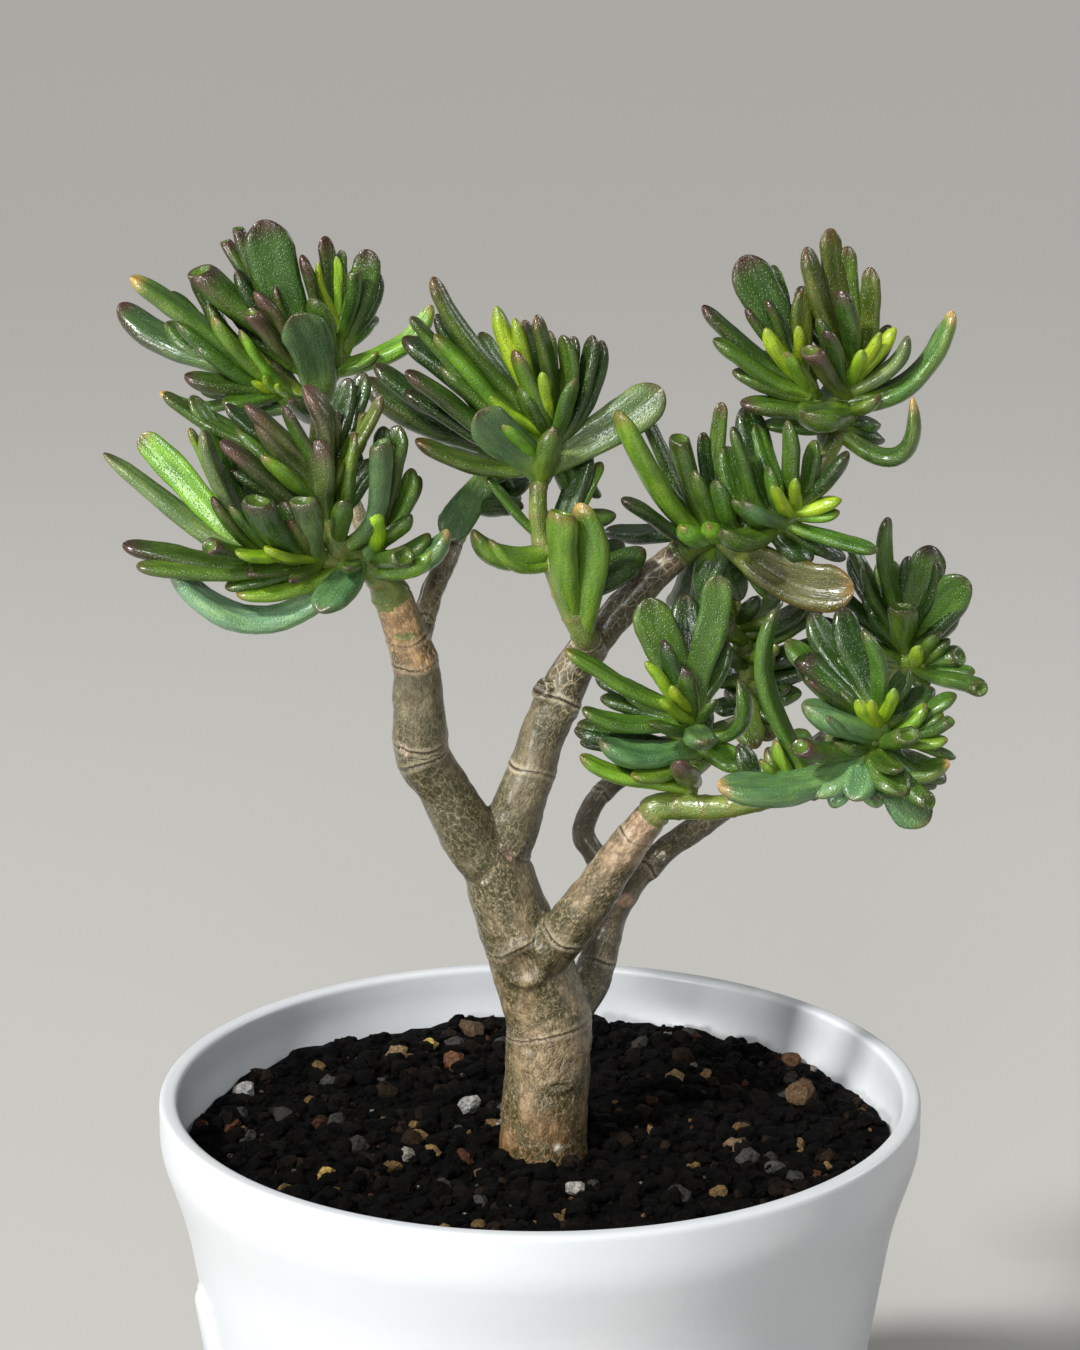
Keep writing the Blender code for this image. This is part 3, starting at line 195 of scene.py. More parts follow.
# The heads of leaves, those nearest to the viewer first. "stems" holds lines of (right, down, away, half
# width) and the first of them goes on from the woody branch named in "on". "leaves" holds, for each leaf,
# the tip (right, down), the place it grows from (right, down), its width, how far the tip comes toward
# the viewer and its tone. How far its middle bows to the left of the way it points, and its form, follow
# where they aren't the usual ones. "hidden" is how many leaves are drawn on the far side.
HEADS = {
    "head_left_front": {
        "on": "left",
        "stems": (
            (
                (380, 577, -95, 15), (358, 560, -110, 13), (335, 540, -122, 12), (322, 500, -124, 9),
                (318, 470, -122, 7),
            ),
            ((345, 560, -112, 10), (295, 558, -128, 9), (250, 552, -132, 7)),
            ((362, 566, -104, 10), (380, 540, -100, 8), (378, 500, -98, 6)),
        ),
        "leaves": (
            (103, 453, 290, 556, 38, -10, "grey", 12, "slim"),
            (140, 435, 252, 545, 28, -30, "fresh", 0, "spoon"), (122, 545, 300, 575, 28, 10, "purple", 6),
            # The wide arc leaf below has a tone brightened as painted light against the shade it lies in.
            (168, 562, 345, 578, 36, 30, "bloom", 56), (320, 612, 346, 575, 36, 62, "blue"),
            (448, 530, 362, 578, 34, 20, "bluetan", -12), (303, 386, 330, 500, 32, 20, "mauve", -20),
            (284, 406, 320, 500, 20, 40, "purple", -8), (245, 405, 320, 480, 26, 30, "mauve", -8),
            (190, 396, 268, 535, 22, -20, "green", -8), (220, 442, 305, 520, 28, 40, "mauve"),
            (262, 456, 324, 500, 24, 50, "fresh"), (382, 396, 336, 510, 20, 10, "olive", 6),
            (346, 400, 340, 480, 14, -30, "green"), (380, 442, 348, 545, 26, 40, "blue", -12, "cup"),
            (398, 425, 380, 525, 24, -20, "green"), (412, 468, 388, 545, 22, -10, "green", -5),
            (212, 497, 262, 550, 20, 30, "purple"), (230, 506, 285, 555, 20, 45, "green"),
            (258, 500, 300, 556, 34, 66, "dark", 0, "cup"), (302, 500, 325, 555, 28, 60, "grey", 0, "cup"),
            (209, 545, 262, 562, 22, 44, "purple", 0, "cup"), (236, 552, 300, 568, 18, 50, "lime"),
            (266, 548, 322, 560, 18, 60, "lime"), (290, 582, 325, 575, 14, 50, "purple", 0, "young"),
            (378, 508, 372, 550, 18, 46, "lime", 0, "young"),
            (404, 556, 372, 560, 26, 52, "green", 0, "cup"), (346, 568, 352, 565, 20, 56, "green"),
            (236, 428, 318, 500, 30, -10, "green"), (356, 432, 340, 530, 26, 10, "olive"),
            (318, 440, 324, 520, 26, 30, "mauve"), (225, 588, 332, 572, 22, 20, "green"),
        ),
        "hidden": 5,
    },
    "head_right_front": {
        "on": "right_front",
        "stems": (
            (
                (668, 806, -96, 14), (720, 807, -112, 12), (775, 796, -128, 11), (835, 778, -140, 10),
                (868, 748, -140, 10), (880, 722, -134, 8),
            ),
            (
                (668, 806, -96, 10), (688, 792, -92, 9), (692, 765, -90, 8), (697, 740, -90, 9),
                (690, 708, -90, 7),
            ),
            ((868, 748, -140, 9), (898, 738, -132, 7)),
        ),
        "leaves": (
            (565, 650, 686, 706, 22, 20, "fresh", 4), (582, 709, 688, 722, 24, 24, "green", 6),
            (600, 741, 694, 748, 36, 36, "blue", 8), (580, 756, 690, 790, 24, 30, "fresh"),
            (632, 776, 692, 768, 22, 40, "fresh"), (577, 724, 692, 752, 28, -40, "dark"),
            (645, 662, 688, 706, 16, 30, "lime", 0, "young"), (684, 668, 694, 716, 22, 30, "purple"),
            (647, 598, 692, 712, 38, -10, "green", 0, "spoon"),
            (718, 575, 698, 720, 30, 6, "green", 0, "spoon"), (703, 742, 697, 728, 30, 62, "blue"),
            (738, 680, 697, 738, 24, 20, "green", -24), (750, 765, 697, 742, 30, 30, "fresh"),
            (660, 700, 692, 720, 14, 40, "lime", 0, "young"), (862, 630, 884, 728, 26, 24, "green", -14),
            (804, 706, 878, 730, 44, 44, "pale"), (808, 680, 876, 722, 18, 36, "purple"),
            (802, 658, 876, 722, 26, -10, "purple", 0, "cup"), (777, 608, 806, 778, 26, 20, "green", 16),
            (800, 746, 866, 752, 26, 44, "purple", 0, "cup"), (718, 786, 850, 772, 44, 46, "bluetan", 8),
            (815, 797, 866, 752, 34, 30, "pale"), (852, 800, 868, 750, 34, 44, "pale"),
            (928, 824, 870, 748, 40, 24, "blue", 0, "spoon"), (950, 762, 876, 752, 28, 10, "tan", -16),
            (956, 758, 884, 738, 14, 0, "green", 6), (908, 734, 884, 742, 26, 48, "green", 0, "cup"),
            (950, 720, 892, 738, 16, 20, "green", 0, "cup"), (957, 695, 890, 738, 22, 0, "green", 6),
            (894, 688, 880, 726, 14, 30, "lime", 0, "young"),
            (930, 803, 876, 750, 20, 50, "green", 0, "cup"),
            (845, 652, 878, 730, 28, -30, "green", 0, "spoon"), (622, 692, 690, 716, 24, -10, "green"),
            (664, 640, 692, 708, 26, 30, "dark"), (834, 742, 874, 746, 26, 30, "green"),
            (926, 704, 888, 736, 24, 14, "fresh"), (904, 795, 868, 750, 32, 50, "green"),
            (908, 668, 882, 724, 22, -10, "green"),
        ),
        "hidden": 5,
    },
    "head_middle": {
        "on": "middle_spur",
        "stems": (
            (
                (579, 624, -52, 13), (568, 598, -54, 14), (552, 558, -50, 12), (541, 538, -48, 10),
                (538, 500, -46, 9), (541, 470, -42, 9), (549, 440, -38, 8), (550, 415, -36, 6),
            ),
        ),
        "leaves": (
            (432, 277, 548, 446, 26, 10, "brown"), (410, 317, 546, 450, 20, 10, "green"),
            (434, 335, 546, 446, 26, 30, "fresh"), (480, 332, 548, 440, 22, -30, "green"),
            (405, 372, 545, 458, 27, 34, "purple"), (415, 440, 544, 466, 24, 26, "brown", 8),
            (478, 412, 546, 474, 40, 66, "blue", 0, "spoon"),
            (496, 306, 549, 430, 24, 20, "lime", 0, "young"), (515, 350, 549, 440, 22, 40, "brown", -4),
            (536, 315, 550, 440, 22, 20, "brown", -10), (562, 335, 552, 446, 22, 10, "green", -10),
            (593, 335, 550, 452, 22, 0, "dark", -10), (662, 388, 548, 468, 40, -20, "grey", -4, "spoon"),
            (487, 478, 541, 538, 14, 0, "green"), (473, 530, 548, 552, 32, 30, "fresh", 16),
            (578, 503, 584, 632, 34, 34, "freshtan", -14), (562, 512, 572, 620, 30, 44, "fresh", 2, "cup"),
            (586, 505, 548, 452, 22, -34, "green"), (490, 396, 548, 440, 14, 40, "lime", 0, "young"),
            (455, 376, 546, 450, 32, -12, "dark"), (522, 384, 549, 440, 26, 24, "green"),
            (576, 378, 550, 446, 22, 30, "green"),
        ),
        "hidden": 5,
    },
    "head_right_upper": {
        "on": "middle",
        "stems": (
            (
                (694, 545, 4, 12), (718, 534, -4, 11), (752, 534, -12, 10), (786, 522, -16, 9),
                (800, 502, -14, 8), (818, 472, 0, 8), (836, 438, 14, 9), (846, 402, 20, 8),
                (852, 368, 22, 6),
            ),
            ((836, 430, 14, 8), (812, 396, 18, 7), (802, 368, 22, 5)),
        ),
        "leaves": (
            (742, 256, 806, 376, 38, 0, "purple", 0, "spoon"), (772, 265, 806, 376, 16, -20, "green"),
            (702, 306, 808, 388, 24, 10, "purple"), (713, 340, 810, 394, 28, 26, "green"),
            (746, 308, 806, 378, 18, 30, "purple"), (767, 300, 806, 376, 16, 20, "purple"),
            (766, 328, 808, 388, 20, 44, "lime", 0, "young"),
            (798, 326, 806, 376, 14, 40, "lime", 0, "young"), (803, 290, 806, 372, 22, 10, "olive"),
            (806, 247, 848, 380, 30, 10, "olive"), (830, 228, 850, 372, 24, -10, "olive"),
            (840, 290, 850, 372, 22, 34, "purple", -6), (870, 267, 852, 374, 20, 0, "olive", -8),
            (818, 318, 849, 384, 18, 40, "green"), (826, 331, 848, 388, 18, 50, "purple"),
            (810, 350, 847, 394, 24, 50, "mauve", 0, "cup"),
            (896, 327, 851, 382, 18, 10, "lime", 0, "young"), (908, 336, 849, 392, 24, 20, "grey", -8),
            (953, 311, 846, 404, 28, 16, "tan", -20), (912, 397, 838, 432, 26, 24, "tan", -46),
            (880, 424, 842, 420, 22, -24, "green"), (806, 414, 842, 414, 44, 60, "green"),
            (740, 404, 838, 420, 28, 20, "purple", -8), (618, 411, 706, 540, 32, 40, "fresh"),
            (644, 412, 706, 540, 18, 0, "green"), (680, 438, 712, 536, 28, 20, "green", 0, "cup"),
            (716, 480, 738, 534, 24, 30, "green"), (722, 402, 722, 534, 15, -20, "brown", 6),
            (732, 427, 772, 528, 22, 20, "green"), (788, 420, 798, 508, 26, 20, "green"),
            (848, 452, 798, 508, 26, 26, "dark"), (745, 502, 782, 524, 28, 46, "blue"),
            (842, 500, 796, 512, 18, 20, "lime", 0, "young"), (878, 551, 784, 524, 20, 26, "green"),
            (724, 530, 774, 528, 32, 60, "green", 10), (854, 588, 722, 534, 44, 50, "ochre", -16, "scoop"),
            (812, 562, 772, 528, 30, 10, "dark"), (682, 527, 708, 538, 26, 36, "fresh", 0, "young"),
            (708, 526, 722, 534, 22, 40, "fresh", 0, "young"), (622, 500, 700, 542, 24, -30, "dark"),
            (605, 530, 720, 534, 26, -84, "dark", -4), (776, 296, 808, 384, 32, -24, "dark"),
            (824, 286, 848, 384, 30, -20, "dark"), (880, 396, 842, 414, 22, 30, "olive"),
            (664, 468, 708, 538, 28, -10, "green"), (694, 470, 720, 534, 24, 26, "green"),
            (748, 452, 778, 524, 24, -20, "green"), (768, 466, 788, 520, 20, 20, "green"),
            (700, 598, 726, 536, 26, -10, "dark"),
        ),
        "hidden": 5,
    },
    "head_left_back": {
        "on": "far_left",
        "stems": (
            ((330, 432, 62, 7), (322, 402, 64, 8), (308, 372, 62, 8), (292, 348, 60, 6)),
            ((322, 405, 64, 7), (280, 392, 72, 8), (240, 372, 80, 7)),
            ((318, 395, 64, 7), (340, 360, 66, 8), (338, 322, 70, 6)),
        ),
        "leaves": (
            (262, 219, 298, 356, 46, 10, "purple", 0, "spoon"),
            (238, 228, 292, 352, 14, -24, "purple", 0, "cup"),
            (225, 241, 290, 352, 14, -30, "purple", 0, "cup"),
            (200, 270, 292, 352, 36, 10, "purple", 0, "cup"), (192, 276, 262, 382, 18, -16, "dark"),
            (130, 277, 280, 392, 30, 20, "tan", -8), (213, 316, 286, 392, 26, 44, "fresh"),
            (120, 303, 240, 372, 36, -54, "bluemaroon", 6), (166, 322, 244, 376, 30, -30, "green"),
            (195, 346, 270, 390, 26, 30, "green"), (254, 292, 304, 368, 28, 36, "mauve", -6),
            (250, 312, 302, 368, 22, 46, "mauve", 0, "cup"),
            (292, 316, 326, 396, 44, 56, "blue", -8, "spoon"), (312, 298, 338, 366, 26, 44, "green"),
            (301, 255, 338, 344, 20, 20, "maroon"), (324, 236, 339, 340, 18, 0, "maroon"),
            (354, 270, 340, 346, 18, 20, "green", 0, "cup"), (342, 250, 339, 330, 12, -10, "green"),
            (367, 249, 341, 356, 27, 0, "purple", -4, "spoon"), (432, 305, 336, 370, 28, 0, "fresh", -14),
            (378, 352, 334, 376, 14, 20, "fresh"), (184, 376, 276, 394, 28, 20, "purple"),
            (160, 392, 262, 386, 16, 0, "tan", 14), (176, 322, 274, 390, 28, 26, "green"),
            (228, 300, 298, 370, 34, -24, "dark"), (222, 402, 286, 394, 22, 30, "green"),
        ),
        "hidden": 5,
    },
    "head_between": {
        "on": "left_back",
        "stems": (
            ((468, 508, 22, 9), (490, 472, 22, 8), (504, 440, 24, 6)),
        ),
        "leaves": (
            (446, 540, 490, 474, 32, 20, "blue", 0, "spoon"), (364, 379, 502, 448, 42, 10, "purple", 6),
            (520, 500, 496, 460, 16, -30, "green"),
        ),
        "hidden": 3,
    },
    "head_right_inner": {
        "on": "back",
        "stems": (
            ((748, 712, 84, 9), (750, 680, 78, 10), (744, 648, 74, 11), (738, 616, 72, 8)),
        ),
        "leaves": (
            (722, 622, 742, 642, 24, 40, "olive", 0, "cup"),
            (770, 648, 746, 658, 22, 36, "olive", 0, "cup"), (722, 652, 746, 664, 20, 40, "dark", 0, "cup"),
            (758, 748, 750, 690, 28, 40, "olive", -6), (776, 738, 750, 684, 24, 20, "olive", -10),
            (700, 612, 742, 640, 24, 0, "dark"), (806, 604, 742, 632, 26, 0, "dark", -6),
            (796, 648, 748, 668, 24, 0, "dark"), (768, 690, 750, 680, 22, 44, "olive", 0, "cup"),
            (728, 692, 750, 702, 24, 20, "dark"), (790, 688, 752, 690, 24, 20, "dark"),
            (776, 612, 740, 628, 22, 20, "olive"), (756, 596, 738, 622, 20, 30, "dark"),
        ),
        "hidden": 5,
    },
    "head_right_back": {
        "on": "right_back",
        "stems": (
            ((898, 668, 84, 9), (908, 640, 78, 8), (910, 610, 74, 6)),
            ((898, 668, 84, 8), (925, 662, 58, 6)),
        ),
        "leaves": (
            (888, 517, 906, 640, 21, 10, "green", 6), (930, 545, 908, 640, 34, -10, "purple", 0, "spoon"),
            (937, 560, 910, 640, 20, 20, "dark", -4), (968, 579, 912, 652, 36, 34, "green", 0, "spoon"),
            (902, 606, 906, 650, 28, 46, "green", 0, "cup"),
            (960, 656, 906, 662, 25, 30, "green", 0, "cup"),
            (983, 689, 912, 666, 20, 76, "green", 0, "cup"), (975, 673, 914, 664, 16, 30, "green"),
            (863, 592, 904, 648, 18, 0, "dark"), (818, 620, 900, 664, 26, 0, "dark"),
            (845, 537, 904, 642, 16, -20, "dark"), (920, 646, 912, 664, 14, 40, "lime", 0, "young"),
            (868, 640, 904, 660, 24, 20, "green"), (890, 560, 906, 645, 24, -20, "green"),
            (940, 632, 912, 662, 20, 30, "green"),
        ),
        "hidden": 5,
    },
}

# How a leaf's row ends if it says no more: it is straight, and a finger
USUAL_END = (0, "finger")
ROW_LENGTH = 9

# More leaves that the photograph shows and the solids leave out, in the same rows as above
MORE_LEAVES = {
    "head_left_front": (
        (350, 378, 340, 470, 26, -24, "dark"), (364, 372, 344, 470, 24, -36, "dark"),
        (284, 500, 312, 560, 28, 24, "dark"), (178, 402, 250, 470, 24, -20, "green"),
        (430, 534, 366, 566, 28, 6, "green", -6), (236, 594, 340, 580, 26, 34, "fresh", 6),
        (203, 430, 262, 502, 26, 20, "grey"), (163, 393, 226, 462, 20, -10, "green"),
        (189, 428, 236, 480, 14, 10, "fresh"), (226, 404, 300, 472, 20, -10, "dark"),
        (256, 414, 322, 492, 28, 24, "mauve"), (322, 400, 332, 500, 28, 4, "mauve"),
        (352, 392, 346, 490, 26, -30, "dark"), (366, 412, 350, 500, 22, -16, "olive"),
        (384, 426, 372, 520, 18, -20, "green"), (420, 476, 392, 545, 20, -14, "dark"),
        (436, 548, 366, 574, 30, 26, "fresh", -8), (136, 566, 300, 590, 24, 30, "green", 8),
        (230, 470, 300, 520, 24, 10, "dark"), (288, 520, 318, 560, 20, 50, "olive"),
        (344, 500, 330, 548, 20, 44, "green"), (246, 574, 330, 572, 18, 40, "purple"),
    ),
    "head_left_back": (
        (236, 270, 292, 350, 26, 14, "dark"), (170, 292, 262, 374, 24, 0, "green"),
        (208, 304, 280, 386, 22, 24, "green"), (318, 262, 334, 330, 10, 10, "lime", 0, "young"),
        (336, 256, 338, 326, 10, 0, "lime", 0, "young"), (378, 272, 344, 354, 20, -10, "dark", -4),
        (200, 390, 270, 398, 20, 0, "dark"), (252, 382, 276, 394, 11, 30, "lime", 0, "young"),
        (264, 376, 280, 394, 11, 36, "lime", 0, "young"), (278, 384, 290, 394, 11, 40, "lime", 0, "young"),
        (240, 330, 296, 390, 20, 36, "fresh"), (276, 286, 312, 366, 20, 10, "purple"),
        (230, 412, 300, 400, 22, -20, "dark"),
    ),
    "head_middle": (
        (402, 338, 536, 436, 34, -20, "dark"), (374, 364, 520, 448, 28, -40, "dark"),
        (514, 318, 549, 430, 20, 26, "lime", 0, "young"), (644, 548, 572, 598, 38, -60, "dark"),
        (620, 540, 572, 600, 36, -60, "dark"), (440, 366, 540, 444, 30, 6, "green"),
        (587, 447, 566, 560, 24, -30, "dark", 4), (602, 462, 572, 566, 16, -40, "fresh", 6),
        (524, 320, 550, 430, 26, 10, "brown"), (548, 330, 552, 430, 20, -16, "brown"),
        (436, 314, 500, 440, 26, -10, "dark"), (518, 324, 548, 430, 24, 10, "lime", 0, "young"),
        (602, 340, 562, 452, 22, -10, "dark", -10), (574, 336, 554, 440, 18, -10, "dark"),
        (600, 496, 552, 446, 24, -44, "green"), (404, 392, 540, 458, 24, 0, "dark"),
        (452, 352, 546, 440, 22, 26, "green"), (500, 424, 548, 460, 20, 50, "fresh"),
        (542, 372, 550, 430, 14, 40, "lime", 0, "young"), (490, 540, 548, 566, 22, 34, "fresh", 12),
    ),
    "head_right_upper": (
        (618, 508, 690, 545, 34, -50, "dark"), (622, 580, 694, 560, 30, -110, "dark"),
        (744, 406, 772, 520, 34, -40, "dark"), (726, 446, 752, 530, 28, -24, "green"),
        (800, 286, 848, 380, 26, -30, "dark"), (846, 558, 790, 528, 22, -20, "dark"),
        (884, 440, 840, 424, 22, -30, "dark"), (703, 432, 718, 530, 14, -10, "dark"),
        (756, 424, 778, 510, 18, -30, "green"), (762, 424, 836, 426, 20, -10, "green"),
        (816, 440, 800, 510, 18, 0, "green"), (840, 512, 796, 522, 18, 10, "fresh"),
        (848, 246, 852, 362, 22, -14, "olive"), (732, 372, 812, 396, 24, 10, "green"),
        (944, 322, 850, 402, 24, 0, "green", -20), (612, 548, 704, 556, 26, -60, "dark"),
        (672, 604, 712, 540, 28, -40, "dark"), (692, 640, 716, 545, 26, -30, "dark"),
        (742, 600, 726, 540, 28, -20, "dark"), (776, 600, 735, 540, 26, -10, "green"),
        (838, 556, 786, 528, 24, -10, "dark"), (734, 500, 770, 528, 22, 40, "green"),
        (772, 486, 794, 516, 14, 44, "lime", 0, "young"), (796, 478, 800, 512, 12, 30, "lime", 0, "young"),
        (868, 420, 842, 420, 18, -10, "dark"), (862, 350, 852, 384, 14, 44, "lime", 0, "young"),
        (880, 332, 851, 380, 14, 30, "lime", 0, "young"), (786, 352, 812, 390, 18, 40, "fresh"),
    ),
    "head_right_inner": (
        (838, 642, 760, 660, 30, -10, "dark"), (816, 664, 756, 682, 28, 0, "dark"),
        (802, 694, 755, 698, 26, 10, "green"), (712, 706, 748, 704, 24, 0, "dark"),
        (772, 652, 750, 690, 20, 30, "olive"), (700, 650, 742, 660, 24, 0, "dark"),
        (690, 672, 745, 684, 22, -10, "dark"), (780, 720, 752, 700, 22, 20, "green"),
    ),
    "head_right_back": (
        (852, 552, 902, 646, 26, -40, "dark"), (880, 560, 906, 650, 22, -30, "green"),
        (864, 562, 902, 650, 18, 10, "green"), (908, 556, 908, 640, 18, -10, "dark"),
        (970, 596, 916, 652, 26, 20, "dark"), (950, 640, 912, 660, 22, 20, "green"),
        (868, 600, 900, 650, 22, 0, "green"), (836, 584, 900, 650, 22, -20, "dark"),
        (926, 688, 908, 668, 20, 20, "green"), (856, 660, 902, 668, 24, 0, "dark"),
    ),
    "head_right_front": (
        (686, 594, 694, 700, 32, -50, "dark"), (796, 660, 868, 722, 30, -30, "green"),
        (812, 612, 876, 716, 32, -50, "dark"), (842, 606, 880, 712, 30, -60, "dark"),
        (786, 640, 872, 722, 28, -50, "green"), (934, 688, 886, 726, 28, -24, "dark"),
        (766, 748, 792, 788, 26, 0, "olive"), (738, 744, 762, 796, 24, -10, "dark"),
        (574, 730, 690, 748, 30, -20, "dark"), (596, 676, 690, 716, 26, -40, "dark"),
        (878, 808, 868, 752, 28, 16, "pale"), (946, 782, 880, 752, 28, 0, "green"),
        (600, 698, 690, 720, 24, -16, "dark"), (580, 742, 690, 742, 22, -30, "dark"),
        (900, 692, 884, 730, 22, -20, "dark"), (944, 714, 890, 742, 18, 10, "green"),
        (948, 740, 886, 746, 18, 20, "fresh"), (936, 788, 880, 750, 26, 0, "green"),
        (880, 800, 866, 752, 26, 30, "blue"), (832, 808, 864, 754, 22, 10, "pale"),
        (840, 690, 874, 730, 22, 10, "green"), (826, 716, 872, 742, 20, 50, "blue"),
        (858, 700, 876, 730, 16, 46, "lime", 0, "young"), (872, 700, 878, 730, 12, 50, "lime", 0, "young"),
        (672, 686, 692, 712, 14, 40, "lime", 0, "young"), (716, 700, 700, 722, 16, 30, "green"),
        (650, 724, 692, 730, 18, 50, "green"), (726, 640, 698, 716, 22, -20, "green"),
        (776, 740, 800, 780, 18, 20, "fresh"), (760, 760, 790, 786, 16, 26, "fresh"),
        (900, 770, 874, 750, 20, 56, "green"),
    ),
}

# A leaf's form. "rings" holds (share of the length, half width, half thickness) along it, the last two as
# shares of the width. "channel" is how deep its upper side is hollowed, "dish" how deep the hollow in a cut
# tip is, or 0.0 for a round tip, and "point" how long a round tip is, all as shares of the width. "faces"
# says whether the upper side is turned to the viewer instead of to the sky.
FORMS = {
    "finger": {
        "rings": (
            (0.0, 0.34, 0.29), (0.18, 0.42, 0.34), (0.45, 0.54, 0.38), (0.70, 0.59, 0.38), (1.0, 0.46, 0.30),
        ),
        "channel": 0.20, "dish": 0.0, "point": 0.74, "faces": False,
    },
    "cup": {
        "rings": (
            (0.0, 0.36, 0.31), (0.20, 0.42, 0.35), (0.55, 0.52, 0.41), (0.84, 0.56, 0.44), (1.0, 0.55, 0.42),
        ),
        "channel": 0.10, "dish": 0.20, "point": 0.0, "faces": False,
    },
    "spoon": {
        "rings": (
            (0.0, 0.34, 0.22), (0.20, 0.42, 0.23), (0.55, 0.54, 0.22), (0.80, 0.57, 0.20), (1.0, 0.46, 0.16),
        ),
        "channel": 0.16, "dish": 0.0, "point": 0.55, "faces": True,
    },
    "scoop": {
        "rings": (
            (0.0, 0.30, 0.26), (0.25, 0.40, 0.30), (0.60, 0.54, 0.30), (0.85, 0.58, 0.26), (1.0, 0.50, 0.20),
        ),
        "channel": 0.36, "dish": 0.0, "point": 0.55, "faces": True,
    },
    "slim": {
        "rings": ((0.0, 0.30, 0.25), (0.25, 0.42, 0.30), (0.60, 0.40, 0.27), (1.0, 0.24, 0.16)),
        "channel": 0.10, "dish": 0.0, "point": 0.90, "faces": False,
    },
    "young": {
        "rings": ((0.0, 0.50, 0.44), (0.35, 0.60, 0.50), (0.80, 0.50, 0.42), (1.0, 0.34, 0.30)),
        "channel": 0.08, "dish": 0.0, "point": 0.9, "faces": False,
    },
}
ROOT_SHARE = -0.06
ROOT_FADE = (0.05, 0.35)
LEAST_THICKNESS = 0.0011
CHANNEL_WIDTH = 0.5
LONGEST_POINT = 0.35
LEAF_SIDES = 16
LEAF_TURNS = 2 * math.pi * (np.arange(LEAF_SIDES) + 0.5) / LEAF_SIDES
LEAF_RINGS = 15
POINT_RINGS = 6

# A cut tip: where the leaf's body ends, its rounded rim as (share of the length, how far it is drawn in),
# the hollow's rings as (size, height) from the rim to the middle, and how the tip slants
CUP_BODY = 0.80
CUP_RIM = ((0.90, 1.0), (0.955, 0.96), (0.985, 0.88), (1.0, 0.76))
DISH_RINGS = ((0.88, 1.0), (0.76, 0.86), (0.58, 0.50), (0.34, 0.18), (0.14, 0.04))
DISH_CURVE = 0.8
SLANT = 0.16
SLANT_FROM = 0.7

# How a leaf differs from its plain form: it curls, sways, and its skin is uneven and finely pitted
LEAF_SEEDS = (0.0, 50.0)
CURL = (0.010, 0.050)
UNEVEN = 0.11
UNEVEN_DENSITY = 1.1
PITTED = 0.028
PITTED_DENSITY = 5.0
SWAY = 0.022
SWAY_TURN = 7

# How far inside the solids' box a leaf stays, and how closely its possible places along a stem stand
INSIDE = 0.0001
SEATS_TO_A_SPAN = 5

# Which way a leaf's upper side looks, before it is squared to the leaf
TO_VIEWER = Vector((0.0, -1.0, 0.25))
SKYWARD = Vector((0.0, -0.30, 1.0))
INWARD_LEAN = 0.5

# Leaves on the side that the photograph doesn't show: how they are drawn
HIDDEN_SEED = 7
HIDDEN_LENGTH = (0.013, 0.020)
HIDDEN_WIDTH = (0.0040, 0.0062)
HIDDEN_SEAT = (0.4, 1.0)
HIDDEN_WANDER = 0.3
HIDDEN_RISE = (-5.0, 65.0)
HIDDEN_BACKWARD = (0.35, 0.8)
HIDDEN_TONES = ("green", "dark", "purple", "green", "olive")
GOLDEN_TURN = math.radians(137.5)

# How a leaf is moved nearer or farther, in pixels, until balls that fill it are clear of other pieces
REACH_STEPS = (0, 12, -12, 24, -24, 36, -36, 50, -50, 66, -66, 84, -84)
CLEARANCE = 0.0004
LEAF_BALLS = 10
LEAF_BALL_FROM = 0.15
LEAF_BALL_SIZES = (0.35, 0.17)

# The young leaves around the upper part of each green stem, the smallest at its tip
YOUNG_SEED = 5
YOUNG_SPACING = 0.0006
YOUNG_REACH = 0.0150
YOUNG_STEM_SHARE = 0.75
YOUNG_BACK = 0.0010
YOUNG_LEVEL = Vector((0.0, 1.0, 0.2))
YOUNG_WANDER = 0.25
YOUNG_SWING = 0.2
YOUNG_SIZES = (0.80, 1.20)
YOUNG_LENGTHS = (0.0050, 0.0125)
YOUNG_WIDTHS = (0.0022, 0.0042)
YOUNG_SPREADS = (0.20, 1.25)
YOUNG_RISE = 0.18
YOUNG_TONES = ("lime", "fresh", "green", "dark", "green", "purple", "olive", "dark", "mauve")
YOUNG_TONE_STEPS = 8.0

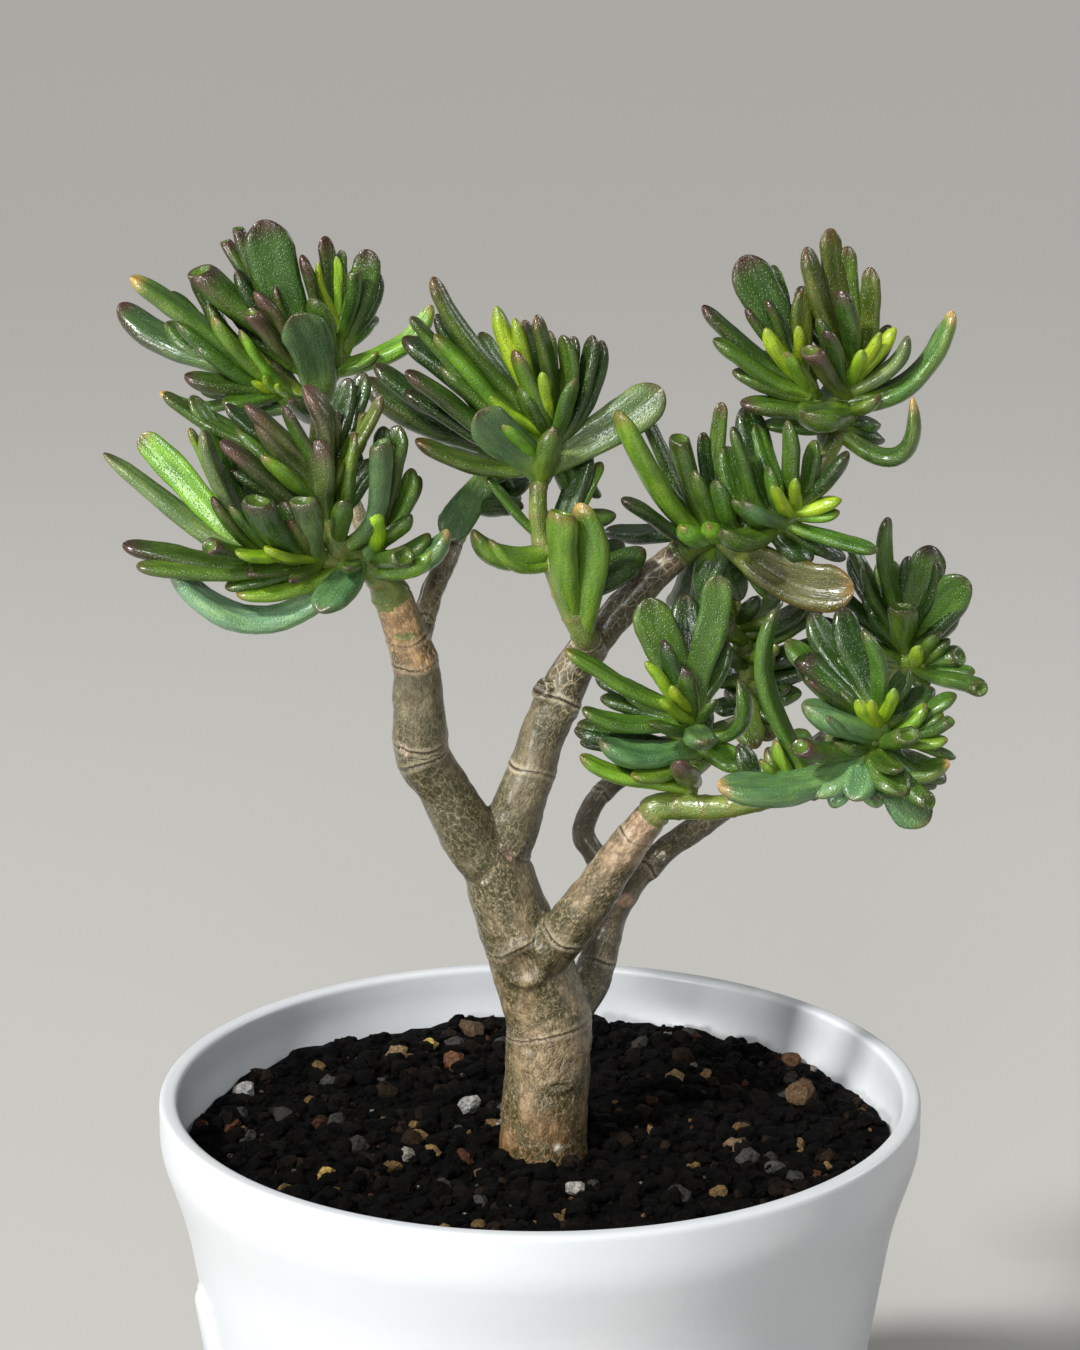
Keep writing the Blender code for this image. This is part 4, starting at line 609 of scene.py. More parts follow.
# Leaf tones: body colour, tip colour, the share of the length where the tip colour sets in, and how far it
# runs back along the edges.
TONES = {
    "green": ((0.046, 0.106, 0.009), (0.055, 0.060, 0.014), 0.93, 0.15),
    "dark": ((0.019, 0.056, 0.005), (0.035, 0.022, 0.012), 0.93, 0.25),
    "lime": ((0.230, 0.360, 0.014), (0.170, 0.240, 0.018), 0.92, 0.00),
    "fresh": ((0.110, 0.230, 0.016), (0.140, 0.110, 0.025), 0.95, 0.10),
    "blue": ((0.066, 0.150, 0.058), (0.080, 0.070, 0.030), 0.95, 0.10),
    "pale": ((0.110, 0.220, 0.090), (0.120, 0.140, 0.070), 0.95, 0.10),
    # The wide arc leaf's tone is its own pale blue-grey, made brighter still as painted light against the
    # shade it lies in under its head.
    "bloom": ((0.210, 0.330, 0.200), (0.200, 0.240, 0.150), 0.95, 0.10),
    "bluemaroon": ((0.050, 0.130, 0.045), (0.050, 0.014, 0.016), 0.90, 0.95),
    "grey": ((0.088, 0.150, 0.055), (0.095, 0.085, 0.045), 0.93, 0.15),
    "mauve": ((0.066, 0.090, 0.024), (0.080, 0.036, 0.036), 0.72, 0.45),
    "purple": ((0.038, 0.090, 0.009), (0.045, 0.014, 0.016), 0.86, 0.65),
    "maroon": ((0.032, 0.072, 0.009), (0.055, 0.012, 0.010), 0.80, 0.85),
    "olive": ((0.070, 0.112, 0.010), (0.080, 0.046, 0.018), 0.90, 0.35),
    "brown": ((0.052, 0.108, 0.010), (0.105, 0.050, 0.018), 0.90, 0.30),
    "tan": ((0.060, 0.140, 0.020), (0.420, 0.270, 0.100), 0.95, 0.15),
    "bluetan": ((0.066, 0.150, 0.058), (0.400, 0.260, 0.110), 0.96, 0.10),
    "freshtan": ((0.110, 0.230, 0.016), (0.400, 0.250, 0.090), 0.95, 0.10),
    "ochre": ((0.060, 0.068, 0.012), (0.200, 0.110, 0.034), 0.94, 0.90),
}
TONE_SEED = 21
TONE_SPREAD = 0.26
WARMTH_SPREAD = 0.6
ROOT_GREEN = (0.140, 0.230, 0.016)
ROOT_TINT = 0.55
ROOT_TINT_SHARES = (0.05, 0.40)
EDGE_TINT = 0.9
EDGE_TINT_SHARES = (0.30, 0.85)
EDGE_SHARPNESS = 14
TIP_TINT = 0.95
TIP_LEAD = 0.06
# A cut tip's hollow: its body colour darkened as painted shade, then mixed toward the root green.
HOLLOW_PAINTED_SHADE = 0.8
HOLLOW_GREEN = 0.3
RIM_TINT = 0.4
RIM_EDGE_TINT = 0.5

# The green stems, with the low scars of fallen leaves
STEM_GREEN = (0.120, 0.165, 0.030)
STEM_SCAR = (0.180, 0.130, 0.055)
STEM_SIDES = 20
STEM_STEP = 0.0006
STEM_STEPS_LEAST = 8
STEM_TONE_SPREAD = 0.1
STEM_CAP = 0.6
STEM_FOOT_SHARE = 0.97
STEM_SCAR_SPACING = 0.0052
STEM_SCAR_WIDTH = 0.09
STEM_SCAR_SWELL = 0.09
STEM_SCAR_TINT = 0.6

# The wood's skin: how it is made, how it meets the green stems, its rings, its lumps and its scars
WOOD_SIDES = 28
WOOD_VOXEL = 0.00055
WOOD_SMOOTHING = 5
WOOD_SOFTNESS = 0.5
SAMPLE_STEP = 0.0008
SAMPLE_BATCH = 4000
NECK_LENGTH = 0.0010
NECK_SHARE = 0.96
STEM_OVERLAP = 0.0020
RING_HEIGHT = 0.00042
RING_WIDTH = 0.00085
RING_CUT = 0.00034
RING_CUT_WIDTH = 0.00030
RING_FIRST = (0.004, 0.010)
RING_SPACING = (0.0145, 0.0200)
RING_TILT = 0.16
RING_TILTS = (0.3, 1.0)
RING_WAVE = 0.0003
RING_FADING = 0.30
RING_STRENGTHS = (0.7, 1.0)
RING_SEED = 4
RING_REACH = 0.0030
RING_END = (0.6, 0.85)
LUMP_HEIGHT = 0.00040
LUMPS = ((1.0, 0.0060), (0.5, 0.0023))
SCAR_RIM = (0.8, 0.28)
SCAR_HOLLOW = (0.7, 0.5)
SCAR_FILL = 0.95
SCAR_EDGE = 0.50
SCAR_EDGE_RING = (1.02, 0.10)
FACING = -0.1
FAR_OFF = 1e6

# Rings that the photograph shows: how far down it each one is, for each branch.
SHOWN_RINGS = {
    "main": (1026, 936),
    "left": (752, 738, 660, 637),
    "middle": (853, 768, 697),
    "right_front": (932, 836),
    "right_back": (962, 868),
}

# Scars and knots: right, down, half width and half height in photo pixels, height in metres, how strongly
# it is coloured, and its colour
SCARS = (
    (525, 963, 25, 26, 0.00090, 0.65, (0.150, 0.105, 0.058)),
    (558, 1088, 18, 6, 0.00040, 0.85, (0.060, 0.042, 0.024)),
    (558, 1147, 5, 4, 0.00010, 0.90, (0.600, 0.560, 0.480)),
    (572, 707, 10, 8, 0.00030, 0.90, (0.420, 0.340, 0.200)),
    (543, 690, 10, 12, 0.00150, 0.90, (0.030, 0.018, 0.012)),
    (625, 900, 10, 7, 0.00040, 0.90, (0.450, 0.270, 0.180)),
    (660, 855, 9, 6, 0.00030, 0.90, (0.560, 0.500, 0.400)),
    (406, 637, 12, 4, 0.00020, 0.80, (0.160, 0.240, 0.070)),
    (483, 882, 7, 4, 0.00020, 0.85, (0.420, 0.350, 0.240)),
    (404, 748, 9, 11, 0.00020, 0.70, (0.420, 0.290, 0.210)),
    (507, 855, 13, 7, 0.00030, 0.70, (0.300, 0.180, 0.130)),
    (577, 713, 12, 8, 0.00030, 0.80, (0.420, 0.360, 0.250)),
)

# Bark: colour of each branch at its foot and at its end, and the shares of its length between which it
# turns from one to the other, where it does so quickly
BARK_TONES = {
    "main": ((0.215, 0.146, 0.078), (0.175, 0.140, 0.080)),
    "left": ((0.125, 0.102, 0.056), (0.400, 0.240, 0.110)),
    "left_back": ((0.200, 0.150, 0.080), (0.130, 0.095, 0.050)),
    "far_left": ((0.180, 0.140, 0.070), (0.120, 0.100, 0.045)),
    "middle": ((0.125, 0.102, 0.056), (0.095, 0.060, 0.032)),
    "middle_spur": ((0.180, 0.150, 0.060), (0.130, 0.150, 0.040)),
    "right_front": ((0.150, 0.122, 0.068), (0.280, 0.180, 0.110)),
    "right_back": ((0.135, 0.102, 0.058), (0.095, 0.070, 0.040)),
    # The back branch is coloured dark as painted shade, for the shadow it stands in behind the others.
    "back": ((0.070, 0.050, 0.028), (0.060, 0.045, 0.026)),
}
TONE_STEPS = {"left": (0.765, 0.785)}
USUAL_TONE_STEP = (0.0, 1.3)
SCAR_DARK = (0.035, 0.022, 0.012)
FOOT_BROWN = (0.150, 0.070, 0.026)
FOOT_BROWN_TINT = 0.8
FOOT_BROWN_REACH = 0.0150

# Where the bark is cracked: fine dark cracks in an oval of the photograph, as right, down, half width and
# half height, and a pale net on branches, from this share of their length on
CRACKED = (550, 1056, 44, 40)
CRACKED_FADE = (0.6, 1.0)
PALE_NET = {"middle": 0.42, "left_back": 0.0, "far_left": 0.0}
PALE_NET_FADE = 0.12

# Soil crumbs: colour and how many of them in a hundred
CRUMB_TONES = (
    ((0.0008, 0.0007, 0.0006), 48),
    ((0.0020, 0.0016, 0.0012), 28),
    ((0.0055, 0.0040, 0.0028), 12),
    ((0.0180, 0.0110, 0.0065), 5),
    ((0.0700, 0.0300, 0.0180), 1),
    ((0.1600, 0.1050, 0.0450), 2),
    ((0.0550, 0.0530, 0.0500), 3),
    ((0.3000, 0.2800, 0.2400), 1),
)
STONE_TONES = (
    (0.150, 0.095, 0.055), (0.120, 0.060, 0.035), (0.100, 0.070, 0.045), (0.130, 0.070, 0.040),
    (0.240, 0.170, 0.090), (0.430, 0.330, 0.100), (0.300, 0.220, 0.110), (0.260, 0.180, 0.090),
    (0.330, 0.330, 0.330), (0.380, 0.380, 0.390), (0.400, 0.390, 0.360), (0.420, 0.300, 0.090),
    (0.140, 0.100, 0.065),
)

# How fine each pattern in the materials is, in cells to a metre: twice across and once along a leaf, branch
# or crumb, or by axis in the pot
FINENESS = {
    "leaf streaks": (1000.0, 1000.0, 140.0),
    "leaf mottle": (420.0, 420.0, 170.0),
    "leaf pits": (2400.0, 2400.0, 1700.0),
    "bark patches": (150.0, 150.0, 80.0),
    "bark blotches": (620.0, 620.0, 380.0),
    "bark specks": (1900.0, 1900.0, 1300.0),
    "bark streaks": (1300.0, 1300.0, 150.0),
    "bark drift": (300.0, 300.0, 300.0),
    "bark net": (620.0, 620.0, 470.0),
    "soil grit": (1500.0, 1500.0, 1500.0),
    "soil clods": (420.0, 420.0, 420.0),
    "glaze waver": (45.0, 45.0, 30.0),
    "glaze peel": (520.0, 520.0, 520.0),
    "glaze pits": (95.0, 95.0, 95.0),
}

# What the patterns do to the colour under them: some of these are mixed in, and some multiply it
HUES = {
    "leaf streak": (0.62, 0.70, 0.55),
    "leaf glow": (1.75, 1.55, 1.20),
    "leaf speck": (0.42, 0.50, 0.34),
    "bark cream": (1.85, 1.95, 2.05),
    "bark streak": (0.62, 0.57, 0.48),
    "bark olive": (0.034, 0.034, 0.009),
    "bark crack": (0.080, 0.050, 0.027),
    "bark net": (0.46, 0.38, 0.24),
    "bark lip": (0.46, 0.39, 0.27),
    "bark ring": (0.035, 0.022, 0.012),
    "soil dark": (0.30, 0.28, 0.26),
    "soil pale": (1.8, 1.6, 1.4),
    "glaze": (0.535, 0.565, 0.60),
    "glaze warm": (0.57, 0.586, 0.605),
    "glaze pit": (0.42, 0.40, 0.38),
}
LEAF_GRAIN = 0.00020
LEAF_WAX_SHARE = 0.6
LEAF_GLOW_REACH = (0.5, 1.0, 0.1)
LEAF_GLOW_DEPTH = 0.0012
BARK_GRAIN = 0.00032
SOIL_GRAIN = 0.0006
GLAZE_GRAIN = 0.00004

# The studio: lamps as name, kind, place, size (an angle for a sun), power and colour
FLOOR_REACH = 9.0
FLOOR_TONE = (0.42, 0.415, 0.40)
FLOOR_ROUGHNESS = 0.90
NEAREST_SEEN = 0.05
SKY_COLOUR = (1.0, 0.98, 0.95)
SKY_STRENGTH = 0.15
LAMP_AIM = Vector((0.0, 0.0, 0.17))
LAMPS = (
    ("key", "SUN", (-0.80, -0.80, 1.20), math.radians(6.0), 3.8, (1.0, 0.98, 0.95)),
    ("front", "AREA", (-0.10, -1.10, 0.80), 0.30, 5.5, (0.97, 0.99, 1.0)),
    ("low", "AREA", (-0.78, -0.72, 0.34), 0.24, 5.5, (1.0, 0.99, 0.96)),
    ("left_edge", "AREA", (-0.9, 0.6, 0.8), 0.4, 3.2, (1.0, 0.99, 0.94)),
    ("right_edge", "AREA", (0.9, 0.4, 0.7), 0.4, 2.8, (0.97, 0.99, 1.0)),
)


def seen(right, down, away):
    """The point that shows at this pixel, that many pixels behind the middle of the pot."""
    across = (right - PHOTO_MIDDLE[0]) / FOCAL_PIXELS
    below = (down - PHOTO_MIDDLE[1]) / FOCAL_PIXELS
    forward = math.cos(EYE_TILT) - below * math.sin(EYE_TILT)
    upward = -math.sin(EYE_TILT) - below * math.cos(EYE_TILT)
    reach = (away * PIXEL - EYE.y) / forward
    return EYE + reach * Vector((across, forward, upward))


def pixel_at(point):
    """What one pixel of the photograph measures at this point."""
    return (point - EYE).dot(LOOK) / FOCAL_PIXELS


def shows_at(points):
    """Where these points show in the photograph, as arrays of pixels to the right and down."""
    way = np.asarray(points) - np.array(EYE)
    depth = way @ np.array(LOOK)
    over = way @ np.array((0.0, math.sin(EYE_TILT), math.cos(EYE_TILT)))
    right = PHOTO_MIDDLE[0] + FOCAL_PIXELS * way[:, 0] / depth
    return right, PHOTO_MIDDLE[1] - FOCAL_PIXELS * over / depth


def real(rows):
    """Rows of (right, down, away, half width) in pixels as points and radii in metres."""
    points = [seen(right, down, away) for right, down, away, _ in rows]
    return [(p, row[3] * pixel_at(p)) for p, row in zip(points, rows)]


def lengths_along(points):
    """How far along a line each of its points is."""
    return np.concatenate([[0.0], np.cumsum(np.linalg.norm(np.diff(points, axis=0), axis=1))])


def arrays(line):
    """A line's points, its radii, and how far along it each point is."""
    points = np.array([point for point, _ in line])
    return points, np.array([radius for _, radius in line]), lengths_along(points)


def places_at(even, along, points):
    """The points that are this far along a line."""
    return np.column_stack([np.interp(even, along, points[:, k]) for k in range(3)])


def smooth(line, steps):
    """Points and radii along a smooth curve through a line of them, steps to a span."""
    knots = np.array([(*point, radius) for point, radius in line])
    knots = np.vstack([2 * knots[0] - knots[1], knots, 2 * knots[-1] - knots[-2]])
    found = []
    for k in range(1, len(knots) - 2):
        a, b, c, d = knots[k - 1 : k + 3]
        slope = c - a
        bend = 2 * a - 5 * b + 4 * c - d
        twist = 3 * b - a - 3 * c + d
        for step in range(steps):
            t = step / steps
            found.append(b + 0.5 * (slope * t + bend * t**2 + twist * t**3))
    found.append(knots[-2])
    return [(Vector(row[:3]), float(row[3])) for row in found]


def places_along(stem):
    """Closely spaced points along a stem, past its foot."""
    for (low, _), (high, _) in zip(stem[1:], stem[2:]):
        for step in range(SEATS_TO_A_SPAN):
            yield low.lerp(high, step / SEATS_TO_A_SPAN)
    yield stem[-1][0]


def nearest_seat(stems, right, down):
    """The point along the stems that shows nearest to this pixel."""
    places = [place for stem in stems for place in places_along(stem)]
    return min(places, key=lambda place: (seen(right, down, place.y / PIXEL) - place).length)


def centre_line(root, tip, bow, share):
    """The point at this share of a leaf that bows sideways, as seen by the viewer."""
    chord = tip - root
    left = Vector((-chord.z, 0.0, chord.x)).normalized()
    return root + chord * share + left * (4 * bow * share * (1 - share))


def balls_along(line):
    """Balls that fill a stem: their middles and radii."""
    found = []
    for (low, thick), (high, thin) in zip(line, line[1:]):
        shares = [step / SEATS_TO_A_SPAN for step in range(SEATS_TO_A_SPAN + 1)]
        found += [(np.array(low.lerp(high, share)), thick + share * (thin - thick)) for share in shares]
    return found


def leaf_balls(root, tip, width, bow):
    """Balls that fill a leaf, but for its root."""
    shares = np.linspace(LEAF_BALL_FROM, 1.0, LEAF_BALLS)
    size, growth = LEAF_BALL_SIZES
    return [(np.array(centre_line(root, tip, bow, s)), width * (size + growth * s)) for s in shares]


def clear(balls, taken):
    """Whether these balls stand clear of the balls of other pieces."""
    if not taken:
        return True
    middles = np.array([middle for middle, _ in taken])
    radii = np.array([radius for _, radius in taken])
    for middle, radius in balls:
        if (np.linalg.norm(middles - middle, axis=1) < radii + radius + CLEARANCE).any():
            return False
    return True


def all_but(name, balls):
    """The balls of every other piece."""
    return [ball for other in balls if other != name for ball in balls[other]]


def balls_of(leaves):
    """The balls that fill these leaves."""
    return [ball for row in leaves for ball in leaf_balls(*row[:4])]


def young_balls(root, tip, width, bow):
    """The balls that fill a young leaf's outer half."""
    return leaf_balls(root, tip, width, bow)[LEAF_BALLS // 2 :]


def shown_leaves(rows, stems, taken):
    """The leaves that the photograph shows, each moved in depth only until it is clear of other pieces."""
    for row in rows:
        row = (*row, *USUAL_END[len(row) - ROW_LENGTH + len(USUAL_END) :])
        tip_right, tip_down, right, down, width, reach, tone, bow, form = row
        root = nearest_seat(stems, right, down)
        for step in REACH_STEPS:
            tip = seen(tip_right, tip_down, root.y / PIXEL - reach - step)
            scale = pixel_at(tip)
            if clear(leaf_balls(root, tip, width * scale, bow * scale), taken):
                yield root, tip, width * scale, bow * scale, form, tone
                break


def hidden_leaves(head, stems, taken, draw):
    """Leaves on the far side, turned by the golden angle from one to the next."""
    least, more = HIDDEN_BACKWARD
    for count in range(head["hidden"]):
        stem = stems[count % len(stems)]
        root = stem[int(draw.uniform(*HIDDEN_SEAT) * (len(stem) - 1))][0]
        turn = count * GOLDEN_TURN + draw.uniform(-HIDDEN_WANDER, HIDDEN_WANDER)
        rise = math.radians(draw.uniform(*HIDDEN_RISE))
        level = Vector((math.cos(turn), least + more * abs(math.sin(turn)), 0.0)) * math.cos(rise)
        direction = (level + Vector((0.0, 0.0, math.sin(rise)))).normalized()
        tip = root + direction * draw.uniform(*HIDDEN_LENGTH)
        width = draw.uniform(*HIDDEN_WIDTH)
        if clear(leaf_balls(root, tip, width, 0.0), taken):
            yield root, tip, width, 0.0, "finger", HIDDEN_TONES[count % len(HIDDEN_TONES)]


def wood_lines(steps):
    """The smooth line of each woody branch. The trunk's foot goes straight down in the soil."""
    lines = {name: smooth(real(rows), steps) for name, rows in WOOD.items()}
    start, radius = lines["main"][0]
    bottom = POT_HEIGHT - SOIL_DROP - TRUNK_HOLE_DEPTH + GAP
    lines["main"].insert(0, (Vector((start.x, start.y, bottom)), radius))
    return lines


def green_lines(head, lines, steps):
    """The stems of a head. The first goes on, past a fine gap, from the end of its woody branch."""
    first, *others = [real(rows) for rows in head["stems"]]
    stems = [smooth(stem, steps) for stem in others]
    (before, _), (end, radius) = lines[head["on"]][-2:]
    ahead = (end - before).normalized()
    foot, neck = [(end + ahead * rise, radius * NECK_SHARE) for rise in (GAP, GAP + NECK_LENGTH)]
    return [[foot, *smooth([neck, *first], steps)], *stems]


def young_leaves(stem, taken, draw):
    """Small leaves between the large ones, turned by the golden angle around a stem's upper part."""
    points, _, along = arrays(stem)
    reach = min(along[-1] * YOUNG_STEM_SHARE, YOUNG_REACH)
    for count in range(int(reach / YOUNG_SPACING)):
        share = count * YOUNG_SPACING / YOUNG_REACH
        place = along[-1] - count * YOUNG_SPACING
        root, before = (Vector(point) for point in places_at([place, place - YOUNG_BACK], along, points))
        ahead = (root - before).normalized()
        side = ahead.cross(YOUNG_LEVEL).normalized()
        turn = count * GOLDEN_TURN + draw.uniform(-YOUNG_WANDER, YOUNG_WANDER)
        level = side * math.cos(turn) + ahead.cross(side) * math.sin(turn)
        spread = np.interp(share, (0.0, 1.0), YOUNG_SPREADS) + draw.uniform(-YOUNG_SWING, YOUNG_SWING)
        way = ahead * math.cos(spread) + level * math.sin(spread) + Vector((0.0, 0.0, YOUNG_RISE))
        size = draw.uniform(*YOUNG_SIZES)
        tip = root + way.normalized() * np.interp(share, (0.0, 1.0), YOUNG_LENGTHS) * size
        width = np.interp(share, (0.0, 1.0), YOUNG_WIDTHS) * size
        step = int(draw.uniform(0.0, 1.0) + share * YOUNG_TONE_STEPS)
        if clear(young_balls(root, tip, width, 0.0), taken):
            yield root, tip, width, 0.0, "young", YOUNG_TONES[min(step, len(YOUNG_TONES) - 1)]


def add_more_leaves(name, leaves, stems, balls, draw):
    """Adds to a head the leaves that the solids leave out, and the young leaves between them all."""
    taken = all_but(name, balls)
    found = list(shown_leaves(MORE_LEAVES.get(name, ()), stems, taken))
    balls[name] += balls_of(found)
    leaves += found
    own = balls_of(leaves)
    for stem in stems:
        found = list(young_leaves(stem, taken + own, draw))
        own += [ball for row in found for ball in young_balls(*row[:4])]
        leaves += found
    balls[name] += own


def plan_heads(lines):
    """The leaves of every head as (root, tip, width, bow, form, tone). Those of the solids come first."""
    draw = np.random.default_rng(HIDDEN_SEED)
    stems = {name: green_lines(head, lines, STEPS_TO_A_SPAN) for name, head in HEADS.items()}
    balls = {name: [ball for stem in stems[name] for ball in balls_along(stem)] for name in HEADS}
    balls["wood"] = [ball for line in lines.values() for ball in balls_along(line)]
    leaves = {}
    for name, head in HEADS.items():
        taken = all_but(name, balls)
        leaves[name] = list(shown_leaves(head["leaves"], stems[name], taken))
        leaves[name] += hidden_leaves(head, stems[name], taken, draw)
        balls[name] += balls_of(leaves[name])
    draw = np.random.default_rng(YOUNG_SEED)
    for name in HEADS:
        add_more_leaves(name, leaves[name], stems[name], balls, draw)
    return leaves


class Skin:
    """Points, faces and point values of a piece, gathered from many closed shapes."""

    def __init__(self):
        self.points = []
        self.faces = []
        self.colours = []
        self.places = []
        self.count = 0

    def add(self, points, faces, colours, places):
        """Adds a shape: its points, faces, a colour for each point and its place along the shape."""
        self.faces += [tuple(corner + self.count for corner in face) for face in faces]
        self.points.append(np.asarray(points, float).reshape(-1, 3))
        self.colours.append(np.broadcast_to(colours, (len(self.points[-1]), 3)))
        self.places.append(np.asarray(places, float).reshape(-1, 3))
        self.count += len(self.points[-1])

    def add_rings(self, start, rings, end, colours, places):
        """Adds a skin of rings that is closed by a fan from a point at each end."""
        points = np.concatenate([[start], rings.reshape(-1, 3), [end]])
        kept = [np.concatenate([v[0, :1], v.reshape(-1, 3), v[-1, :1]]) for v in (colours, places)]
        self.add(points, ring_faces(*rings.shape[:2]), *kept)

    def finish(self, name, node, paint, flat=False):
        """The piece as an object that rides on the body and stands for its node."""
        mesh = bpy.data.meshes.new(name)
        mesh.from_pydata(np.concatenate(self.points).tolist(), [], self.faces)
        keep_values(mesh, np.concatenate(self.colours), place=np.concatenate(self.places))
        piece = bpy.data.objects.new(name, mesh)
        return settle(piece, node, paint, flat)


def keep_values(mesh, colours, **vectors):
    """Writes a colour and some vectors for each point of a mesh, for its material to read."""
    tint = mesh.attributes.new("tint", "FLOAT_COLOR", "POINT")
    tint.data.foreach_set("color", np.column_stack([colours, np.ones(len(colours))]).ravel())
    for name, values in vectors.items():
        kept = mesh.attributes.new(name, "FLOAT_VECTOR", "POINT")
        kept.data.foreach_set("vector", np.asarray(values).ravel())


def settle(piece, node, paint, flat=False):
    """Links a piece, paints it, hangs it on the body, and hides the solid's node that it stands in for."""
    bpy.context.scene.collection.objects.link(piece)
    piece.data.materials.clear()
    piece.data.materials.append(paint)
    piece.data.polygons.foreach_set("use_smooth", [not flat] * len(piece.data.polygons))
    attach(piece, BODY)
    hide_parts(node)
    return piece


def unit(rows):
    """These vectors, each at length one."""
    rows = np.asarray(rows, float)
    return rows / np.linalg.norm(rows, axis=-1, keepdims=True)


def ramp(low, high, values):
    """A smooth rise from 0 at low to 1 at high."""
    share = np.clip((np.asarray(values, float) - low) / (high - low), 0.0, 1.0)
    return share * share * (3 - 2 * share)


def blend(one, other, share):
    """A mix of two colours, for each share."""
    share = np.asarray(share, float)[..., None]
    return np.asarray(one, float) * (1 - share) + np.asarray(other, float) * share


def ring_faces(rings, sides):
    """Faces of a skin of rings, closed by a fan at each end. Its points are start, rings, end."""
    faces = []
    last = 1 + (rings - 1) * sides
    for i in range(sides):
        j = (i + 1) % sides
        faces.append((0, 1 + j, 1 + i))
        faces.append((last + i, last + j, last + sides))
        for low in range(1, last, sides):
            faces.append((low + i, low + j, low + sides + j, low + sides + i))
    return faces


def frames_along(points):
    """Directions ahead, to one side and to the other, at each point of a line."""
    ahead = unit(np.gradient(points, axis=0))
    side = np.array((1.0, 0.0, 0.0))
    sides = []
    for way in ahead:
        side = unit(side - way * side.dot(way))
        sides.append(side)
    sides = np.array(sides)
    return ahead, sides, np.cross(ahead, sides)


def leaf_shares(shape, slenderness):
    """Shares of the length for each ring of a leaf, and how far each is drawn in."""
    if shape["dish"]:
        body = np.linspace(ROOT_SHARE, CUP_BODY, LEAF_RINGS + POINT_RINGS - len(DISH_RINGS) - len(CUP_RIM))
        rim, drawn = np.array(CUP_RIM).T
        return np.concatenate([body, rim]), np.concatenate([np.ones(len(body)), drawn])
    point = min(shape["point"] * slenderness, LONGEST_POINT)
    body = np.linspace(ROOT_SHARE, 1.0 - point, LEAF_RINGS)
    turns = np.linspace(0.0, math.pi / 2, POINT_RINGS + 2)[1:-1]
    shares = np.concatenate([body, 1.0 - point + point * np.sin(turns)])
    return shares, np.concatenate([np.ones(len(body)), np.cos(turns)])


def leaf_bumps(x, y, along, width, seed):
    """How uneven a leaf's skin is, as a share of its thickness."""
    bumps = np.empty(x.shape)
    for row, column in np.ndindex(*x.shape):
        spot = Vector((x[row, column], y[row, column], along[row])) / width + Vector((seed, 0.0, seed))
        broad, fine = noise.noise(spot * UNEVEN_DENSITY), noise.noise(spot * PITTED_DENSITY)
        bumps[row, column] = UNEVEN * broad + PITTED * fine
    return bumps


def kept_inside(points, shares):
    """A leaf drawn in toward its tip where it would reach out of the solids' box."""
    low, high = (np.array(corner) for corner in CAD_BOX)
    under = np.maximum(low + INSIDE - points.min(axis=(0, 1)), 0.0)
    over = np.maximum(points.max(axis=(0, 1)) - high + INSIDE, 0.0)
    return points + (under - over) * (shares**2)[:, None, None]


def leaf_frame(shape, start, chord, bow, shares, seed):
    """A leaf's middle line, and which ways are ahead, up and across at each of its rings."""
    length = np.linalg.norm(chord)
    left = unit(np.array((-chord[2], 0.0, chord[0])))
    sway = SWAY * length * math.sin(SWAY_TURN * seed) * np.sin(2 * math.pi * np.clip(shares, 0.0, 1.0))
    middle = start + np.outer(shares, chord) + np.outer(4 * bow * shares * (1 - shares) + sway, left)
    ahead = unit(np.gradient(middle, shares, axis=0))
    outward = chord / length * (1.0, 1.0, 0.0)
    wish = np.array(TO_VIEWER) if shape["faces"] else np.array(SKYWARD) - INWARD_LEAN * outward
    wish = wish - chord * wish.dot(chord) / length**2
    up = unit(wish - ahead * np.sum(wish * ahead, axis=1, keepdims=True))
    return middle, ahead, up, np.cross(ahead, up)


def dished(points, along, x, y, depth, ahead):
    """A leaf with a hollow sunk in its cut tip, and the hollow's deepest point."""
    rim, centre = points[-1], points[-1].mean(axis=0)
    for size, height in DISH_RINGS:
        ring = centre + (rim - centre) * size - ahead * (depth * (1 - height) ** DISH_CURVE)
        points = np.concatenate([points, ring[None]])
        along = np.concatenate([along, np.full((1, LEAF_SIDES), 1.0)])
        x, y = (np.concatenate([values, values[-1:] * size]) for values in (x, y))
    return points, along, x, y, centre - ahead * depth


def leaf_skin(root, tip, width, bow, form, curl, seed):
    """A fleshy leaf's rings, with each point's share of the length and place across, and the leaf's end."""
    shape = FORMS[form]
    chord = np.array(tip - root)
    length = np.linalg.norm(chord)
    shares, drawn = leaf_shares(shape, width / length)
    middle, ahead, up, across = leaf_frame(shape, np.array(root), chord, bow, shares, seed)
    middle = middle - up * (curl * length * np.sin(math.pi * np.clip(shares, 0.0, 1.0)))[:, None]
    knots, wide, thick = np.array(shape["rings"]).T
    half = np.interp(shares, knots, wide) * width * drawn
    deep = np.maximum(np.interp(shares, knots, thick) * width, LEAST_THICKNESS / 2) * drawn
    side, rise = np.cos(LEAF_TURNS), np.sin(LEAF_TURNS)
    groove = shape["channel"] * width * np.exp(-((side / CHANNEL_WIDTH) ** 2)) * (rise > 0)
    fade = ramp(*ROOT_FADE, shares) * drawn
    x = np.outer(half, side)
    y = np.outer(deep, rise) - np.outer(fade, groove)
    z = -np.outer(ramp(SLANT_FROM, 1.0, shares), rise) * SLANT * width if shape["dish"] else 0.0 * x
    uneven = leaf_bumps(x, y, shares * length, width, seed) * fade[:, None]
    x, y = x * (1 + uneven), y * (1 + uneven)
    points = middle[:, None] + x[..., None] * across[:, None] + y[..., None] * up[:, None]
    points = points + z[..., None] * ahead[:, None]
    along = np.repeat(shares[:, None], LEAF_SIDES, axis=1)
    if shape["dish"]:
        return dished(points, along, x, y, shape["dish"] * width, ahead[-1])
    return points, along, x, y, np.array(centre_line(root, tip, bow, 1.0))


